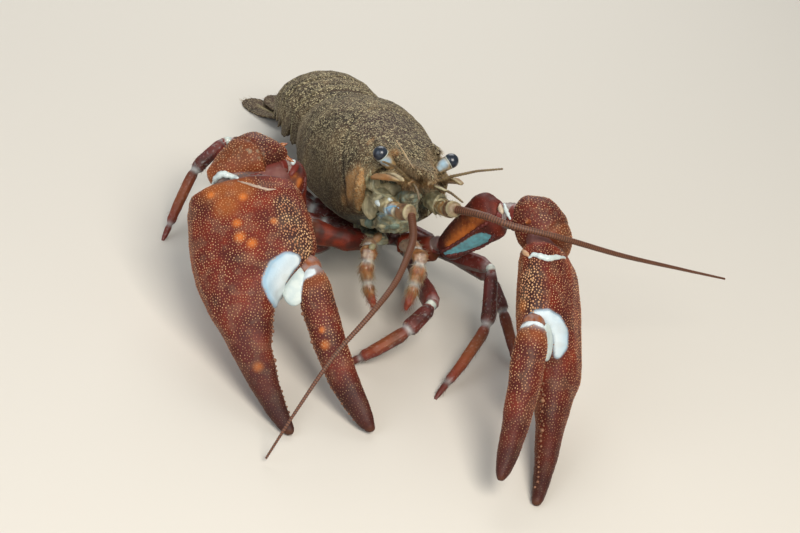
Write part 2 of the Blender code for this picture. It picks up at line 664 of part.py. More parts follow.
def blade(name, root, heading, length, half_width, thickness, level, lowest, colour):
    """Tail-fan blade with a rounded end; its underside eases down from a level to the lowest one."""
    along = Vector((heading.x, heading.y, 0.0)).normalized()
    side = Vector((along.y, -along.x, 0.0))
    outline = ((0.0, 0.42), (0.12, 0.62), (0.35, 0.86), (0.6, 1.0), (0.8, 0.96), (0.92, 0.76), (1.0, 0.42))
    rings = []
    for f, share in outline:
        half_thickness = thickness * 0.5 * (1.0 - BLADE_TAPER * f)
        centre = Vector((root.x, root.y, 0.0)) + along * length * f
        left = max(0.0, 1.0 - f / BLADE_SETTLING)
        centre.z = lowest + (level - lowest) * left ** 2 + half_thickness * BLADE_LIFT
        rings.append(section_ring(centre, side, Vector((0, 0, 1)), half_width * share, half_thickness, 8, 3.0))
    settle(solid_from_rings(name, rings, colour))


def turned(heading, across, degrees):
    angle = math.radians(degrees)
    return heading * math.cos(angle) + across * math.sin(angle)


def make_tail_fan(frame):
    place, side, up, along = frame
    heading = Vector((along.x, along.y, 0.0)).normalized()
    base = Vector((place.x, place.y, 0.0)) + heading * 0.2
    top = place.z - 2.6
    blade("telson", base, heading, TELSON_LENGTH, 5.8, 1.5, top, 3.0, SHELL_BROWN)
    for name, s in (("left", 1.0), ("right", -1.0)):
        across = Vector((side.x, side.y, 0.0)).normalized() * s
        inner = turned(heading, across, ENDOPOD_ANGLE)
        outer = turned(heading, across, EXOPOD_ANGLE)
        blade("endopod_" + name, base + across * 4.6 - heading * 0.6, inner, UROPOD_LENGTH * 0.94, 4.6,
              1.2, top - 1.8, 1.5, SHELL_BROWN)
        blade("exopod_" + name, base + across * 6.0 - heading * 0.8, outer, UROPOD_LENGTH, 5.0,
              1.2, top - 3.6, 0.0, SHELL_BROWN)


def main():
    for thing in list(bpy.data.objects):
        bpy.data.objects.remove(thing, do_unlink=True)
    make_carapace()
    make_sternum()
    make_mouth()
    for side in ("left", "right"):
        make_eye(side)
        make_antennule(side)
        make_antennal_scale(side)
        make_antenna(side)
        make_maxilliped(side)
        make_claw_limb(side)
        for pair in LEG_HIP_Y:
            make_leg(side, pair)
    make_tail_fan(make_abdomen())
    parts = list(bpy.context.scene.collection.objects)
    footprint = bpy.data.objects.new("footprint", None)
    bpy.context.scene.collection.objects.link(footprint)
    footprint.location = FOOTPRINT_SHIFT * MM
    for part in parts:
        part.parent = footprint


main()
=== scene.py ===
import math

import bmesh
import bpy
import numpy as np
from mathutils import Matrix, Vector, noise
from mathutils.bvhtree import BVHTree


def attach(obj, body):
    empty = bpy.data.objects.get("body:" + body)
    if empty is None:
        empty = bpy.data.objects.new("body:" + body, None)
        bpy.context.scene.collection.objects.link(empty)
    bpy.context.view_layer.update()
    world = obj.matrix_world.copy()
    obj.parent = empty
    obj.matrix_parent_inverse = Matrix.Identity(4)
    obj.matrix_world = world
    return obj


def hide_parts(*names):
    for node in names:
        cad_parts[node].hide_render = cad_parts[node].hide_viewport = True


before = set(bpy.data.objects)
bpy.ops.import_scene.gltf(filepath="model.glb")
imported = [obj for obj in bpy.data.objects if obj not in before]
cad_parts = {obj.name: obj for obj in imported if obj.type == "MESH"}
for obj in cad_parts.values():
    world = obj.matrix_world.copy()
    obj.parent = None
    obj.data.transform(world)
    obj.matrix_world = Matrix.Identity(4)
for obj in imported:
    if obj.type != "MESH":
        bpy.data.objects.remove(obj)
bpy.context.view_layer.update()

mm = 0.001                      # shapes are worked out in millimetres and written in metres
scene = bpy.context.scene
sides = {"left": 1.0, "right": -1.0}
print("frame loaded")


# Camera, floor and lights
shot = {
    "place": (-169.47, -366.92, 239.0),
    "azimuth": -24.0,
    "elevation": 30.5,
    "roll": 15.0,               # right side down
    "lens": 80.0,
    "sensor": 36.0,
    "width": 800.0,
    "height": 533.0,
}
studio = {
    "floor": "#D2CDC2",
    "floorSize": 3.0,           # metres from its middle to an edge
    "aim": (0, 0, 15),          # where the lamps point, in mm
    "sky": "#DDE3E8",
    "skyStrength": 0.3,
    # place in mm, size in mm, power in watts and colour
    "lamps": (
        ("key", (-20, -420, 470), 300, 3.7, "#FFF8F0"),
        ("fill", (-520, -220, 300), 420, 1.3, "#EEF4FF"),
        ("back", (60, 420, 380), 380, 1.6, "#FFFFFF"),
    ),
}


def colour(code):
    parts = [int(code[k:k + 2], 16) / 255 for k in (1, 3, 5)]
    return [*(p / 12.92 if p < 0.04045 else ((p + 0.055) / 1.055) ** 2.4 for p in parts), 1.0]


def add(tree, kind, inputs=(), stops=(), **settings):
    # one node with its settings, its ramp stops if it has any, and its inputs by name or number
    node = tree.nodes.new(kind)
    for key, value in settings.items():
        setattr(node, key, value)
    for number, (position, tint) in enumerate(stops):
        row = node.color_ramp.elements
        element = row[number] if number < 2 else row.new(position)
        element.position = position
        element.color = colour(tint)
    for key, value in dict(inputs).items():
        if isinstance(value, bpy.types.NodeSocket):
            tree.links.new(value, node.inputs[key])
        else:
            node.inputs[key].default_value = value
    return node


def shotAxes():
    azimuth, elevation, roll = (math.radians(shot[key]) for key in ("azimuth", "elevation", "roll"))
    forward = Vector((-math.sin(azimuth) * math.cos(elevation), math.cos(azimuth) * math.cos(elevation),
                      -math.sin(elevation)))
    level = Vector((math.cos(azimuth), math.sin(azimuth), 0))
    upright = level.cross(forward)
    right = level * math.cos(roll) + upright * math.sin(roll)
    up = upright * math.cos(roll) - level * math.sin(roll)
    return right, up, forward


def photoRay(across, down):
    # direction from the camera through a point of the picture, in its pixels
    right, up, forward = shotAxes()
    step = shot["sensor"] / shot["lens"] / shot["width"]
    ray = forward + right * (across - shot["width"] / 2) * step - up * (down - shot["height"] / 2) * step
    return ray.normalized()


def setCamera():
    right, up, forward = shotAxes()
    lensData = bpy.data.cameras.new("camera")
    lensData.lens = shot["lens"]
    lensData.sensor_width = shot["sensor"]
    lensData.clip_start = 0.01
    camera = bpy.data.objects.new("camera", lensData)
    scene.collection.objects.link(camera)
    camera.rotation_mode = "QUATERNION"
    turn = camera.matrix_world.copy()
    for axis, direction in enumerate((right, up, -forward)):
        for row in range(3):
            turn[row][axis] = direction[row]
    turn.translation = Vector(shot["place"]) * mm
    camera.matrix_world = turn
    scene.camera = camera


def setLamps():
    for name, place, size, power, tint in studio["lamps"]:
        lamp = bpy.data.lights.new(name, "AREA")
        lamp.size = size * mm
        lamp.energy = power
        lamp.color = colour(tint)[:3]
        holder = bpy.data.objects.new(name, lamp)
        scene.collection.objects.link(holder)
        holder.location = Vector(place) * mm
        holder.rotation_mode = "QUATERNION"
        aim = Vector(studio["aim"]) - Vector(place)
        holder.rotation_quaternion = aim.to_track_quat("-Z", "Y")
    world = bpy.data.worlds.new("studio")
    scene.world = world
    world.use_nodes = True
    sky = world.node_tree.nodes["Background"]
    sky.inputs["Color"].default_value = colour(studio["sky"])
    sky.inputs["Strength"].default_value = studio["skyStrength"]
    scene.view_settings.view_transform = "Standard"


def setFloor():
    bm = bmesh.new()
    bmesh.ops.create_grid(bm, x_segments=1, y_segments=1, size=studio["floorSize"])
    mesh = bpy.data.meshes.new("floor")
    bm.to_mesh(mesh)
    bm.free()
    floor = bpy.data.objects.new("floor", mesh)
    scene.collection.objects.link(floor)
    made = bpy.data.materials.new("paperSweep")    # matt paper, pale and even
    made.use_nodes = True
    shader = made.node_tree.nodes["Principled BSDF"]
    shader.inputs["Base Color"].default_value = colour(studio["floor"])
    shader.inputs["Roughness"].default_value = 0.9
    mesh.materials.append(made)


setCamera()
setLamps()
setFloor()
print("studio set")


# Finishes
def newFinish(name, roughness, ior, coat=0.0):
    made = bpy.data.materials.new(name)
    made.use_nodes = True
    tree = made.node_tree
    tree.nodes.clear()
    shader = add(tree, "ShaderNodeBsdfPrincipled", {"Roughness": roughness, "IOR": ior, "Coat Weight": coat})
    add(tree, "ShaderNodeOutputMaterial", {"Surface": shader.outputs[0]})
    return made, tree, shader


def texture(tree, kind, size, more=()):
    # a texture in the piece's own space, its features so many mm across
    place = add(tree, "ShaderNodeTexCoord").outputs["Object"]
    return add(tree, kind, {"Vector": place, "Scale": 1 / (size * mm), **dict(more)})


def mapped(tree, value, low, high, first, last):
    # the stretch of a value from low to high, spread from first to last
    return add(tree, "ShaderNodeMapRange", {0: value, 1: low, 2: high, 3: first, 4: last}).outputs[0]


def times(tree, first, second):
    return add(tree, "ShaderNodeMath", {0: first, 1: second}, operation="MULTIPLY").outputs[0]


def mixed(tree, amount, base, tint, blend="MIX"):
    inputs = {0: amount, 6: base, 7: tint}
    return add(tree, "ShaderNodeMix", inputs, data_type="RGBA", blend_type=blend).outputs[2]


def layered(tree, base, layers):
    # the base colour with a tint laid over it for each mask that the piece carries
    for mask, tint in layers:
        amount = add(tree, "ShaderNodeAttribute", attribute_name=mask)
        base = mixed(tree, amount.outputs["Fac"], base, colour(tint))
    return base


def relief(tree, shader, height, strength, depth):
    # shallow relief, its depth in mm
    bump = add(tree, "ShaderNodeBump", {"Strength": strength, "Distance": depth * mm, "Height": height})
    tree.links.new(bump.outputs[0], shader.inputs["Normal"])


redShell = {
    "tints": ((0.3, "#45130A"), (0.68, "#7C2A10"), (0.5, "#601C0D")),
    "cloud": 7.0,               # mm across a patch of darker or brighter red
    "pore": 0.55,               # mm between pores; real ones are finer
    "poreShade": (0.72, 1.08),  # brightness in a pore and between pores
    "relief": (0.22, 0.12),     # strength, depth in mm
    # shadow is painted shade, blue-grey, on the white patch behind the finger
    "layers": (("maroon", "#3B2019"), ("orange", "#AE6428"), ("spot", "#D6782E"), ("membrane", "#D3DEE0"),
               ("shadow", "#8FB2C6"), ("teal", "#69AFB8"), ("silt", "#93866C"), ("tip", "#8A5430"),
               ("dark", "#2A130E")),
}


def makeRedShell():
    # calcified cuticle of the claws, wetted: deep red, clouded, with a soft shine between the granules
    made, tree, shader = newFinish("claw cuticle, wet", 0.58, 1.38)
    cloud = texture(tree, "ShaderNodeTexNoise", redShell["cloud"], {"Detail": 4.0})
    base = add(tree, "ShaderNodeValToRGB", {0: cloud.outputs["Fac"]}, stops=redShell["tints"])
    pore = texture(tree, "ShaderNodeTexVoronoi", redShell["pore"]).outputs["Distance"]
    shade = mapped(tree, pore, 0.0, 0.6, *redShell["poreShade"])
    base = mixed(tree, 1.0, base.outputs["Color"], shade, "MULTIPLY")
    tree.links.new(layered(tree, base, redShell["layers"]), shader.inputs["Base Color"])
    relief(tree, shader, pore, *redShell["relief"])
    return made


brownShell = {
    "tints": ((0.32, "#33281A"), (0.7, "#7A6647"), (0.5, "#574530")),
    "cloud": 9.0,
    "grain": 0.29,              # mm across a grain of silt, coarser than in life to show in the picture
    # pale and dark grains: channel of a grain's random colour, stretch of it that shows, strength, colour
    "grains": ((0, 0.56, 0.8, 0.85, "#BFB28A"), (1, 0.42, 0.75, 0.78, "#1E180E")),
    "relief": (0.5, 0.12),
    # shade is painted shade on flanks and lower sides, partly the carapace flank's own darker brown
    # the dark groove tint is painted shade in grooves, eye hollows and between rings
    "layers": (("maroon", "#3A2018"), ("orange", "#B28450"), ("shade", "#332B1D"), ("grooveShade", "#241D14"),
               ("rim", "#B4A87A"), ("face", "#5B5544"), ("membrane", "#9DB3AE"), ("teal", "#6E8F88"),
               ("blue", "#7FB2CC"), ("pale", "#CFC9AE"), ("dark", "#1D1812")),
}


def makeBrownShell():
    # cuticle of the trunk: tan to olive brown under a thin film of silt grains
    made, tree, shader = newFinish("trunk cuticle, silted", 0.75, 1.38)
    cloud = texture(tree, "ShaderNodeTexNoise", brownShell["cloud"], {"Detail": 5.0})
    base = add(tree, "ShaderNodeValToRGB", {0: cloud.outputs["Fac"]}, stops=brownShell["tints"])
    base = layered(tree, base.outputs["Color"], brownShell["layers"])
    grain = texture(tree, "ShaderNodeTexVoronoi", brownShell["grain"])
    pick = add(tree, "ShaderNodeSeparateColor", {0: grain.outputs["Color"]})
    film = add(tree, "ShaderNodeAttribute", attribute_name="film")
    for channel, low, high, strength, tint in brownShell["grains"]:
        share = mapped(tree, pick.outputs[channel], low, high, 0.0, strength)
        base = mixed(tree, times(tree, share, film.outputs["Fac"]), base, colour(tint))
    tree.links.new(base, shader.inputs["Base Color"])
    relief(tree, shader, grain.outputs["Distance"], *brownShell["relief"])
    return made


# tints that any plain cuticle can carry; the crest tint is a painted highlight on the feeler rings
plainLayers = (("pale", "#C9D6D4"), ("orange", "#B9702F"), ("red", "#862818"), ("dark", "#1C1611"),
               ("teal", "#708F86"), ("blue", "#7DB4D4"), ("cream", "#D9CFA6"), ("crestHighlight", "#7A4E34"))


def makePlain(name, tints, size, roughness, coat=0.0, strength=0.3):
    # a cuticle of two tints that run into each other in patches of that size in mm, lightly pitted
    made, tree, shader = newFinish(name, roughness, 1.5, coat)
    cloud = texture(tree, "ShaderNodeTexNoise", size, {"Detail": 4.0}).outputs["Fac"]
    base = add(tree, "ShaderNodeValToRGB", {0: cloud}, stops=((0.35, tints[0]), (0.65, tints[1])))
    tree.links.new(layered(tree, base.outputs["Color"], plainLayers), shader.inputs["Base Color"])
    relief(tree, shader, cloud, strength, 0.1)
    return made


finish = {
    "red": makeRedShell(),      # claws and their limbs
    "brown": makeBrownShell(),      # carapace, abdomen and tail fan
    # small calcified knobs, paler than the cuticle that they grow from
    "granule": makePlain("claw granules, pale", ("#A56B48", "#D2A678"), 3.0, 0.6),
    # low knobs of the upper limb, hardly paler than the cuticle round them
    "knob": makePlain("limb granules, dull", ("#7A3424", "#A25C44"), 3.0, 0.55),
    # rows of worn knobs along the cutting edges
    "tooth": makePlain("finger teeth, worn", ("#6E4430", "#966C4E"), 2.0, 0.5),
    # amber horn of the two thorns at each wrist
    "thorn": makePlain("horny spine tips, amber", ("#7A3A1C", "#B9763A"), 1.5, 0.4, 0.2),
    # thin dark red shell of the walking legs, and of the knobs along the claw limb's bands
    "leg": makePlain("leg cuticle, red", ("#38110C", "#64221A"), 4.0, 0.55, 0.06),
    # thin silted shell of the small parts of the head
    "face": makePlain("face cuticle, tan", ("#6E5E3E", "#A08E60"), 1.6, 0.55, 0.08),
    # soft lobes and pleats that frame the mouth, wet
    "lobe": makePlain("mouth lobes, soft", ("#7E8468", "#A9A27A"), 1.0, 0.45, 0.15),
    # leathery shell of the maxillipeds
    "mouthpart": makePlain("mouthpart cuticle, orange", ("#784824", "#A4703C"), 2.5, 0.45, 0.2),
    # soft joint skin, bluish white and wet
    "membrane": makePlain("joint membrane, wet", ("#93A8A6", "#CDD3C6"), 2.0, 0.4, 0.2),
    # hard dark rings of the long feelers, their crests a little paler as a painted highlight
    "feeler": makePlain("feeler rings, dark red", ("#241009", "#391A10"), 3.0, 0.55),
    # stiff bristles of bare chitin
    "seta": makePlain("bristles, tan", ("#8A7654", "#B8A47E"), 4.0, 0.6),
    # smooth cornea over black pigment
    "eye": makePlain("cornea, black", ("#171C24", "#26303C"), 1.0, 0.3, 0.25, 0.0),
}
print("finishes made")


# Shapes taken from the CAD nodes
def merged(names):
    bm = bmesh.new()
    for name in names:
        bm.from_mesh(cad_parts[name].data)
    bmesh.ops.remove_doubles(bm, verts=bm.verts, dist=0.01 * mm)
    mesh = bpy.data.meshes.new("merged")
    bm.to_mesh(mesh)
    bm.free()
    return mesh


def nodePoints(name):
    mesh = merged([name])
    points = np.array([v.co[:] for v in mesh.vertices]) / mm
    bpy.data.meshes.remove(mesh)
    return points


def nodeShape(names, cell, rounds, outwards=0.53):
    # the nodes' shape in square cells of that size, its facets eased in so many rounds; the nearer
    # outwards is to one half, the broader the facets that are eased
    holder = bpy.data.objects.new("cells", merged(names))
    scene.collection.objects.link(holder)
    cells = holder.modifiers.new("cells", "REMESH")
    cells.mode = "VOXEL"
    cells.voxel_size = cell * mm
    bpy.context.view_layer.update()
    fine = bpy.data.meshes.new_from_object(holder.evaluated_get(bpy.context.evaluated_depsgraph_get()))
    points = np.empty(len(fine.vertices) * 3)
    fine.vertices.foreach_get("co", points)
    corners = np.empty(len(fine.loops), dtype=np.int64)
    fine.loops.foreach_get("vertex_index", corners)
    bpy.data.objects.remove(holder)
    shape = {"points": points.reshape(-1, 3) / mm, "faces": corners.reshape(-1, 4)}
    return relax(shape, rounds, outwards=outwards)


def relax(shape, rounds, inwards=0.5, outwards=0.53):
    # each round pulls points in to their neighbours' middle and then a little more out, which keeps the size
    points = shape["points"]
    faces = shape["faces"]
    pairs = np.concatenate([faces[:, (k, (k + 1) % 4)] for k in range(4)])
    count = np.bincount(pairs[:, 0], minlength=len(points))[:, None]
    for number in range(rounds):
        for factor in (inwards, -outwards):
            total = np.stack([np.bincount(pairs[:, 0], points[pairs[:, 1], axis], len(points))
                              for axis in range(3)], 1)
            points = points + factor * (total / count - points)
    shape["points"] = points
    return shape


def soften(shape, rounds, swell):
    # rounds off broad corners and then swells the shape by what that took away, in mm
    relax(shape, rounds, outwards=0)
    push(shape, swell)


def normalsOf(shape):
    points = shape["points"]
    faces = shape["faces"]
    if not isinstance(faces, np.ndarray):
        faces = np.array([(*face, face[-1])[:4] for face in faces])
    flat = np.cross(points[faces[:, 2]] - points[faces[:, 0]], points[faces[:, 3]] - points[faces[:, 1]])
    total = np.stack([sum(np.bincount(faces[:, corner], flat[:, axis], len(points)) for corner in range(4))
                      for axis in range(3)], 1)
    return total / np.maximum(np.linalg.norm(total, axis=1, keepdims=True), 1e-9)


def push(shape, amount):
    # moves each point along its normal by its own amount in mm
    shape["points"] = shape["points"] + normalsOf(shape) * np.asarray(amount).reshape(-1, 1)


def ease(low, high, value):
    share = np.clip((value - low) / (high - low), 0, 1)
    return share * share * (3 - 2 * share)


def hill(value, middle, width):
    return np.exp(-((value - middle) / width) ** 2)


def lumps(points, size):
    return np.array([noise.noise(Vector(point) / size) for point in points])


def meeting(first, second):
    # where two nodes come together: the middle of their nearest points
    near = nodePoints(first)
    far = nodePoints(second)
    gaps = np.linalg.norm(near[:, None] - far[None], axis=2)
    order = np.argsort(gaps, axis=None)[:12]
    a, b = np.unravel_index(order, gaps.shape)
    return (near[a].mean(0) + far[b].mean(0)) / 2


def endOf(name, near, count):
    # middle of the node's end nearest to a point, and its direction outwards, from rings of so many points
    points = nodePoints(name)
    points = points[np.argsort(np.linalg.norm(points - near, axis=1))]
    middle = points[:count].mean(0)
    return middle, unit(middle - points[count:2 * count].mean(0))


def courseOf(name, start, count):
    # middles of a limb's rings of so many points, from the end nearest to start
    points = nodePoints(name)
    course = []
    here = np.asarray(start)
    while len(points) >= count:
        order = np.argsort(np.linalg.norm(points - here, axis=1))
        here = points[order[:count]].mean(0)
        points = points[order[count:]]
        course.append(here)
    return np.array(course)


def alongCourse(points, course):
    # share of the course's length at each point, 0 to 1, and the course's direction there
    steps = course[1:] - course[:-1]
    lengths = np.linalg.norm(steps, axis=1)
    before = np.concatenate([[0], np.cumsum(lengths)])
    best = np.full(len(points), np.inf)
    share = np.zeros(len(points))
    lie = np.zeros((len(points), 3))
    for k, step in enumerate(steps):
        run = np.clip((points - course[k]) @ step / lengths[k] ** 2, 0, 1)
        gap = np.linalg.norm(points - course[k] - run[:, None] * step, axis=1)
        near = gap < best
        best = np.where(near, gap, best)
        share = np.where(near, (before[k] + run * lengths[k]) / before[-1], share)
        lie[near] = step / lengths[k]
    return share, lie


def surface(shape):
    faces = shape["faces"].tolist() if isinstance(shape["faces"], np.ndarray) else shape["faces"]
    return BVHTree.FromPolygons([Vector(point) for point in shape["points"]], faces)


def photoPoint(seen, pixel):
    # the point of a surface that a pixel of the picture sees
    hit = seen.ray_cast(Vector(shot["place"]), photoRay(*pixel[:2]))[0]
    return None if hit is None else np.array(hit)


def chained(discs, parts=6):
    # discs close together on the way from each one to the next
    row = np.array(discs, float)
    between = [row[k] + (row[k + 1] - row[k]) * t / parts for k in range(len(row) - 1) for t in range(parts)]
    return between + [row[-1]]


def photoMask(shape, discs, soft=0.25):
    # 1 inside discs given by a pixel of the picture and a radius in mm, 0 outside
    mask = np.zeros(len(shape["points"]))
    seen = surface(shape)
    for disc in discs:
        hit = photoPoint(seen, disc)
        if hit is not None:
            gap = np.linalg.norm(shape["points"] - hit, axis=1)
            mask = np.maximum(mask, 1 - ease(disc[2] * (1 - soft), disc[2] * (1 + soft), gap))
    return mask


def unit(vector):
    return np.asarray(vector) / np.linalg.norm(vector)


# Pieces
def makePiece(name, shape, material, nodes=(), masks=None):
    mesh = bpy.data.meshes.new(name)
    faces = shape["faces"]
    faces = faces.tolist() if isinstance(faces, np.ndarray) else faces
    points = np.asarray(shape["points"]) * mm
    points[:, 2] = np.maximum(points[:, 2], 0)          # nothing sinks into the ground
    mesh.from_pydata(points.tolist(), [], faces)
    mesh.polygons.foreach_set("use_smooth", [True] * len(mesh.polygons))
    for key, values in (masks or {}).items():
        kind, field = ("FLOAT", "value") if np.ndim(values) == 1 else ("FLOAT_VECTOR", "vector")
        layer = mesh.attributes.new(key, kind, "POINT")
        layer.data.foreach_set(field, np.asarray(values, np.float32).ravel())
    mesh.materials.append(material)
    piece = bpy.data.objects.new(name, mesh)
    scene.collection.objects.link(piece)
    return settle(piece, nodes)


def settle(piece, nodes=()):
    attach(piece, "root")
    if nodes:
        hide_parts(*nodes)
    return piece


def together(shapes):
    points = []
    faces = []
    for shape in shapes:
        start = len(points)
        points.extend(np.asarray(shape["points"]).tolist())
        for face in np.asarray(shape["faces"], object):
            faces.append(tuple(corner + start for corner in face))
    return {"points": np.array(points), "faces": faces}


def tube(path, radii, corners, up=(0, 0, 1), flat=1.0):
    # closed tube round a path of points; flat is its height as a share of its width
    path = [Vector(point) for point in path]
    points = []
    faces = []
    for number, (place, radius) in enumerate(zip(path, radii)):
        along = (path[min(number + 1, len(path) - 1)] - path[max(number - 1, 0)]).normalized()
        across = along.cross(Vector(up)).normalized()
        over = across.cross(along)
        for k in range(corners):
            angle = 2 * math.pi * k / corners
            points.append(place + across * math.cos(angle) * radius + over * math.sin(angle) * radius * flat)
    for number in range(len(path) - 1):
        for k in range(corners):
            a = number * corners + k
            b = number * corners + (k + 1) % corners
            faces.append((a, b, b + corners, a + corners))
    points += [path[0], path[-1]]
    last = (len(path) - 1) * corners
    for k in range(corners):
        faces.append((len(points) - 2, (k + 1) % corners, k))
        faces.append((len(points) - 1, last + k, last + (k + 1) % corners))
    return {"points": np.array([point[:] for point in points]), "faces": faces}


def ball(middle, axes, radii, corners):
    # closed ellipsoid with its own three directions
    axes = np.array(axes)
    points = []
    for k in range(1, corners // 2):
        tall = math.pi * k / (corners // 2)
        for n in range(corners):
            turn = 2 * math.pi * n / corners
            points.append((math.sin(tall) * math.cos(turn), math.sin(tall) * math.sin(turn), math.cos(tall)))
    points += [(0, 0, 1), (0, 0, -1)]
    points = np.asarray(middle) + (np.array(points) * radii) @ axes
    rows = corners // 2 - 1
    faces = []
    for k in range(rows - 1):
        for n in range(corners):
            a = k * corners + n
            b = k * corners + (n + 1) % corners
            faces.append((a, a + corners, b + corners, b))
    last = (rows - 1) * corners
    for n in range(corners):
        faces.append((rows * corners, n, (n + 1) % corners))
        faces.append((rows * corners + 1, last + (n + 1) % corners, last + n))
    if np.linalg.det(axes) < 0:
        faces = [face[::-1] for face in faces]
    return {"points": points, "faces": faces}


# Node trees for what repeats
def newTree(name, inputs):
    tree = bpy.data.node_groups.new(name, "GeometryNodeTree")
    tree.interface.new_socket("Geometry", in_out="INPUT", socket_type="NodeSocketGeometry")
    for key, value in inputs.items():
        kind = {float: "NodeSocketFloat", int: "NodeSocketInt"}.get(type(value), "NodeSocketMaterial")
        socket = tree.interface.new_socket(key, in_out="INPUT", socket_type=kind)
        if value is not None:
            socket.default_value = value
    tree.interface.new_socket("Geometry", in_out="OUTPUT", socket_type="NodeSocketGeometry")
    return tree, add(tree, "NodeGroupInput").outputs


def endTree(tree, geometry, finishSocket):
    real = add(tree, "GeometryNodeRealizeInstances", {"Geometry": geometry})
    smooth = add(tree, "GeometryNodeSetShadeSmooth", {"Geometry": real.outputs[0]})
    dressed = add(tree, "GeometryNodeSetMaterial", {"Geometry": smooth.outputs[0], "Material": finishSocket})
    add(tree, "NodeGroupOutput", {"Geometry": dressed.outputs[0]})


def carried(tree, name, kind="FLOAT"):
    # a mask or a direction that the shell carries
    return add(tree, "GeometryNodeInputNamedAttribute", {"Name": name}, data_type=kind).outputs[0]


def spreadOn(tree, start, mask, density):
    # points spread evenly over the shell, thinned by one of its masks
    inputs = {"Mesh": start["Geometry"], "Distance Min": start["Spacing"], "Density Max": density,
              "Density Factor": carried(tree, mask), "Seed": start["Seed"]}
    return add(tree, "GeometryNodeDistributePointsOnFaces", inputs, distribute_method="POISSON")


def varied(tree, start, low, high):
    inputs = {2: low, 3: high, "Seed": start["Seed"]}
    return add(tree, "FunctionNodeRandomValue", inputs, data_type="FLOAT").outputs[1]


def planted(tree, points, shape, turned, scale):
    inputs = {"Points": points, "Instance": shape.outputs[0], "Rotation": turned.outputs[0],
              "Scale": scale.outputs[0]}
    return add(tree, "GeometryNodeInstanceOnPoints", inputs).outputs[0]


def granuleTree():
    # low domes spread evenly over a shell, longer along its lie, thinned and sized by its masks
    tree, start = newTree("granules", {"Spacing": 1.1 * mm, "Size": 0.27 * mm, "Height": 0.7,
                                       "Stretch": 1.25, "Seed": 1, "Finish": None})
    spread = spreadOn(tree, start, "granules", 8e6)
    lie = carried(tree, "lie", "FLOAT_VECTOR")
    turned = add(tree, "FunctionNodeAlignRotationToVector",
                 {"Rotation": spread.outputs["Rotation"], "Vector": lie}, axis="X", pivot_axis="Z")
    size = times(tree, varied(tree, start, 0.65, 1.3), start["Size"])
    size = times(tree, size, carried(tree, "swell"))
    long = times(tree, size, start["Stretch"])
    high = times(tree, size, start["Height"])
    scale = add(tree, "ShaderNodeCombineXYZ", {0: long, 1: size, 2: high})
    dome = add(tree, "GeometryNodeMeshIcoSphere", {"Radius": 1.0, "Subdivisions": 1})
    endTree(tree, planted(tree, spread.outputs["Points"], dome, turned, scale), start["Finish"])
    return tree


def bristleTree():
    # thin bristles that lean from the shell towards its lie
    tree, start = newTree("bristles", {"Spacing": 0.6 * mm, "Length": 2.0 * mm, "Width": 0.05 * mm,
                                       "Lean": 1.0, "Seed": 1, "Finish": None})
    spread = spreadOn(tree, start, "bristles", 9e6)
    lie = carried(tree, "lie", "FLOAT_VECTOR")
    leaning = add(tree, "ShaderNodeVectorMath", {0: lie, "Scale": start["Lean"]}, operation="SCALE")
    stray = add(tree, "FunctionNodeRandomValue", {0: (-0.35,) * 3, 1: (0.35,) * 3, "Seed": start["Seed"]},
                data_type="FLOAT_VECTOR")
    aim = spread.outputs["Normal"]
    for offset in (leaning, stray):
        aim = add(tree, "ShaderNodeVectorMath", {0: aim, 1: offset.outputs[0]}, operation="ADD").outputs[0]
    turned = add(tree, "FunctionNodeAlignRotationToVector", {"Vector": aim}, axis="Z")
    scale = add(tree, "ShaderNodeCombineXYZ", {0: 1.0, 1: 1.0, 2: varied(tree, start, 0.55, 1.15)})
    hair = add(tree, "GeometryNodeMeshCone", {"Vertices": 4, "Radius Top": 0.01 * mm,
                                              "Radius Bottom": start["Width"], "Depth": start["Length"]})
    endTree(tree, planted(tree, spread.outputs["Points"], hair, turned, scale), start["Finish"])
    return tree


def beadTree():
    # one dome on each loose point, as big as its own size says
    tree, start = newTree("beads", {"Size": 1.0 * mm, "Finish": None})
    size = times(tree, carried(tree, "own"), start["Size"])
    dome = add(tree, "GeometryNodeMeshIcoSphere", {"Radius": 1.0, "Subdivisions": 2})
    grown = add(tree, "GeometryNodeInstanceOnPoints",
                {"Points": start["Geometry"], "Instance": dome.outputs[0], "Scale": size})
    endTree(tree, grown.outputs[0], start["Finish"])
    return tree


def ringTree():
    # a path drawn as close rings, thinner towards its end
    tree, start = newTree("rings", {"Pitch": 0.45 * mm, "Base": 1.0 * mm, "Tip": 0.3 * mm, "Waist": 0.78,
                                    "Finish": None})
    path = add(tree, "GeometryNodeMeshToCurve", {0: start["Geometry"]})
    half = times(tree, start["Pitch"], 0.5)
    steps = add(tree, "GeometryNodeResampleCurve", {"Curve": path.outputs[0], "Length": half}, mode="LENGTH")
    share = add(tree, "GeometryNodeSplineParameter").outputs["Factor"]
    thick = mapped(tree, share, 0.0, 1.0, start["Base"], start["Tip"])
    number = add(tree, "GeometryNodeInputIndex").outputs[0]
    odd = add(tree, "ShaderNodeMath", {0: number, 1: 2.0}, operation="MODULO").outputs[0]
    waist = mapped(tree, odd, 0.0, 1.0, 1.0, start["Waist"])
    outline = add(tree, "GeometryNodeCurvePrimitiveCircle", {"Resolution": 8, "Radius": 1.0})
    # painted highlight: every other ring is marked paler
    crestHighlight = add(tree, "ShaderNodeMath", {0: 1.0, 1: odd}, operation="SUBTRACT")
    marked = add(tree, "GeometryNodeStoreNamedAttribute",
                 {"Geometry": steps.outputs[0], "Name": "crestHighlight", "Value": crestHighlight.outputs[0]})
    drawn = add(tree, "GeometryNodeCurveToMesh",
                {"Curve": marked.outputs[0], "Profile Curve": outline.outputs[0],
                 "Scale": times(tree, thick, waist), "Fill Caps": True})
    endTree(tree, drawn.outputs[0], start["Finish"])
    return tree


trees = {"granules": granuleTree(), "bristles": bristleTree(), "beads": beadTree(), "rings": ringTree()}


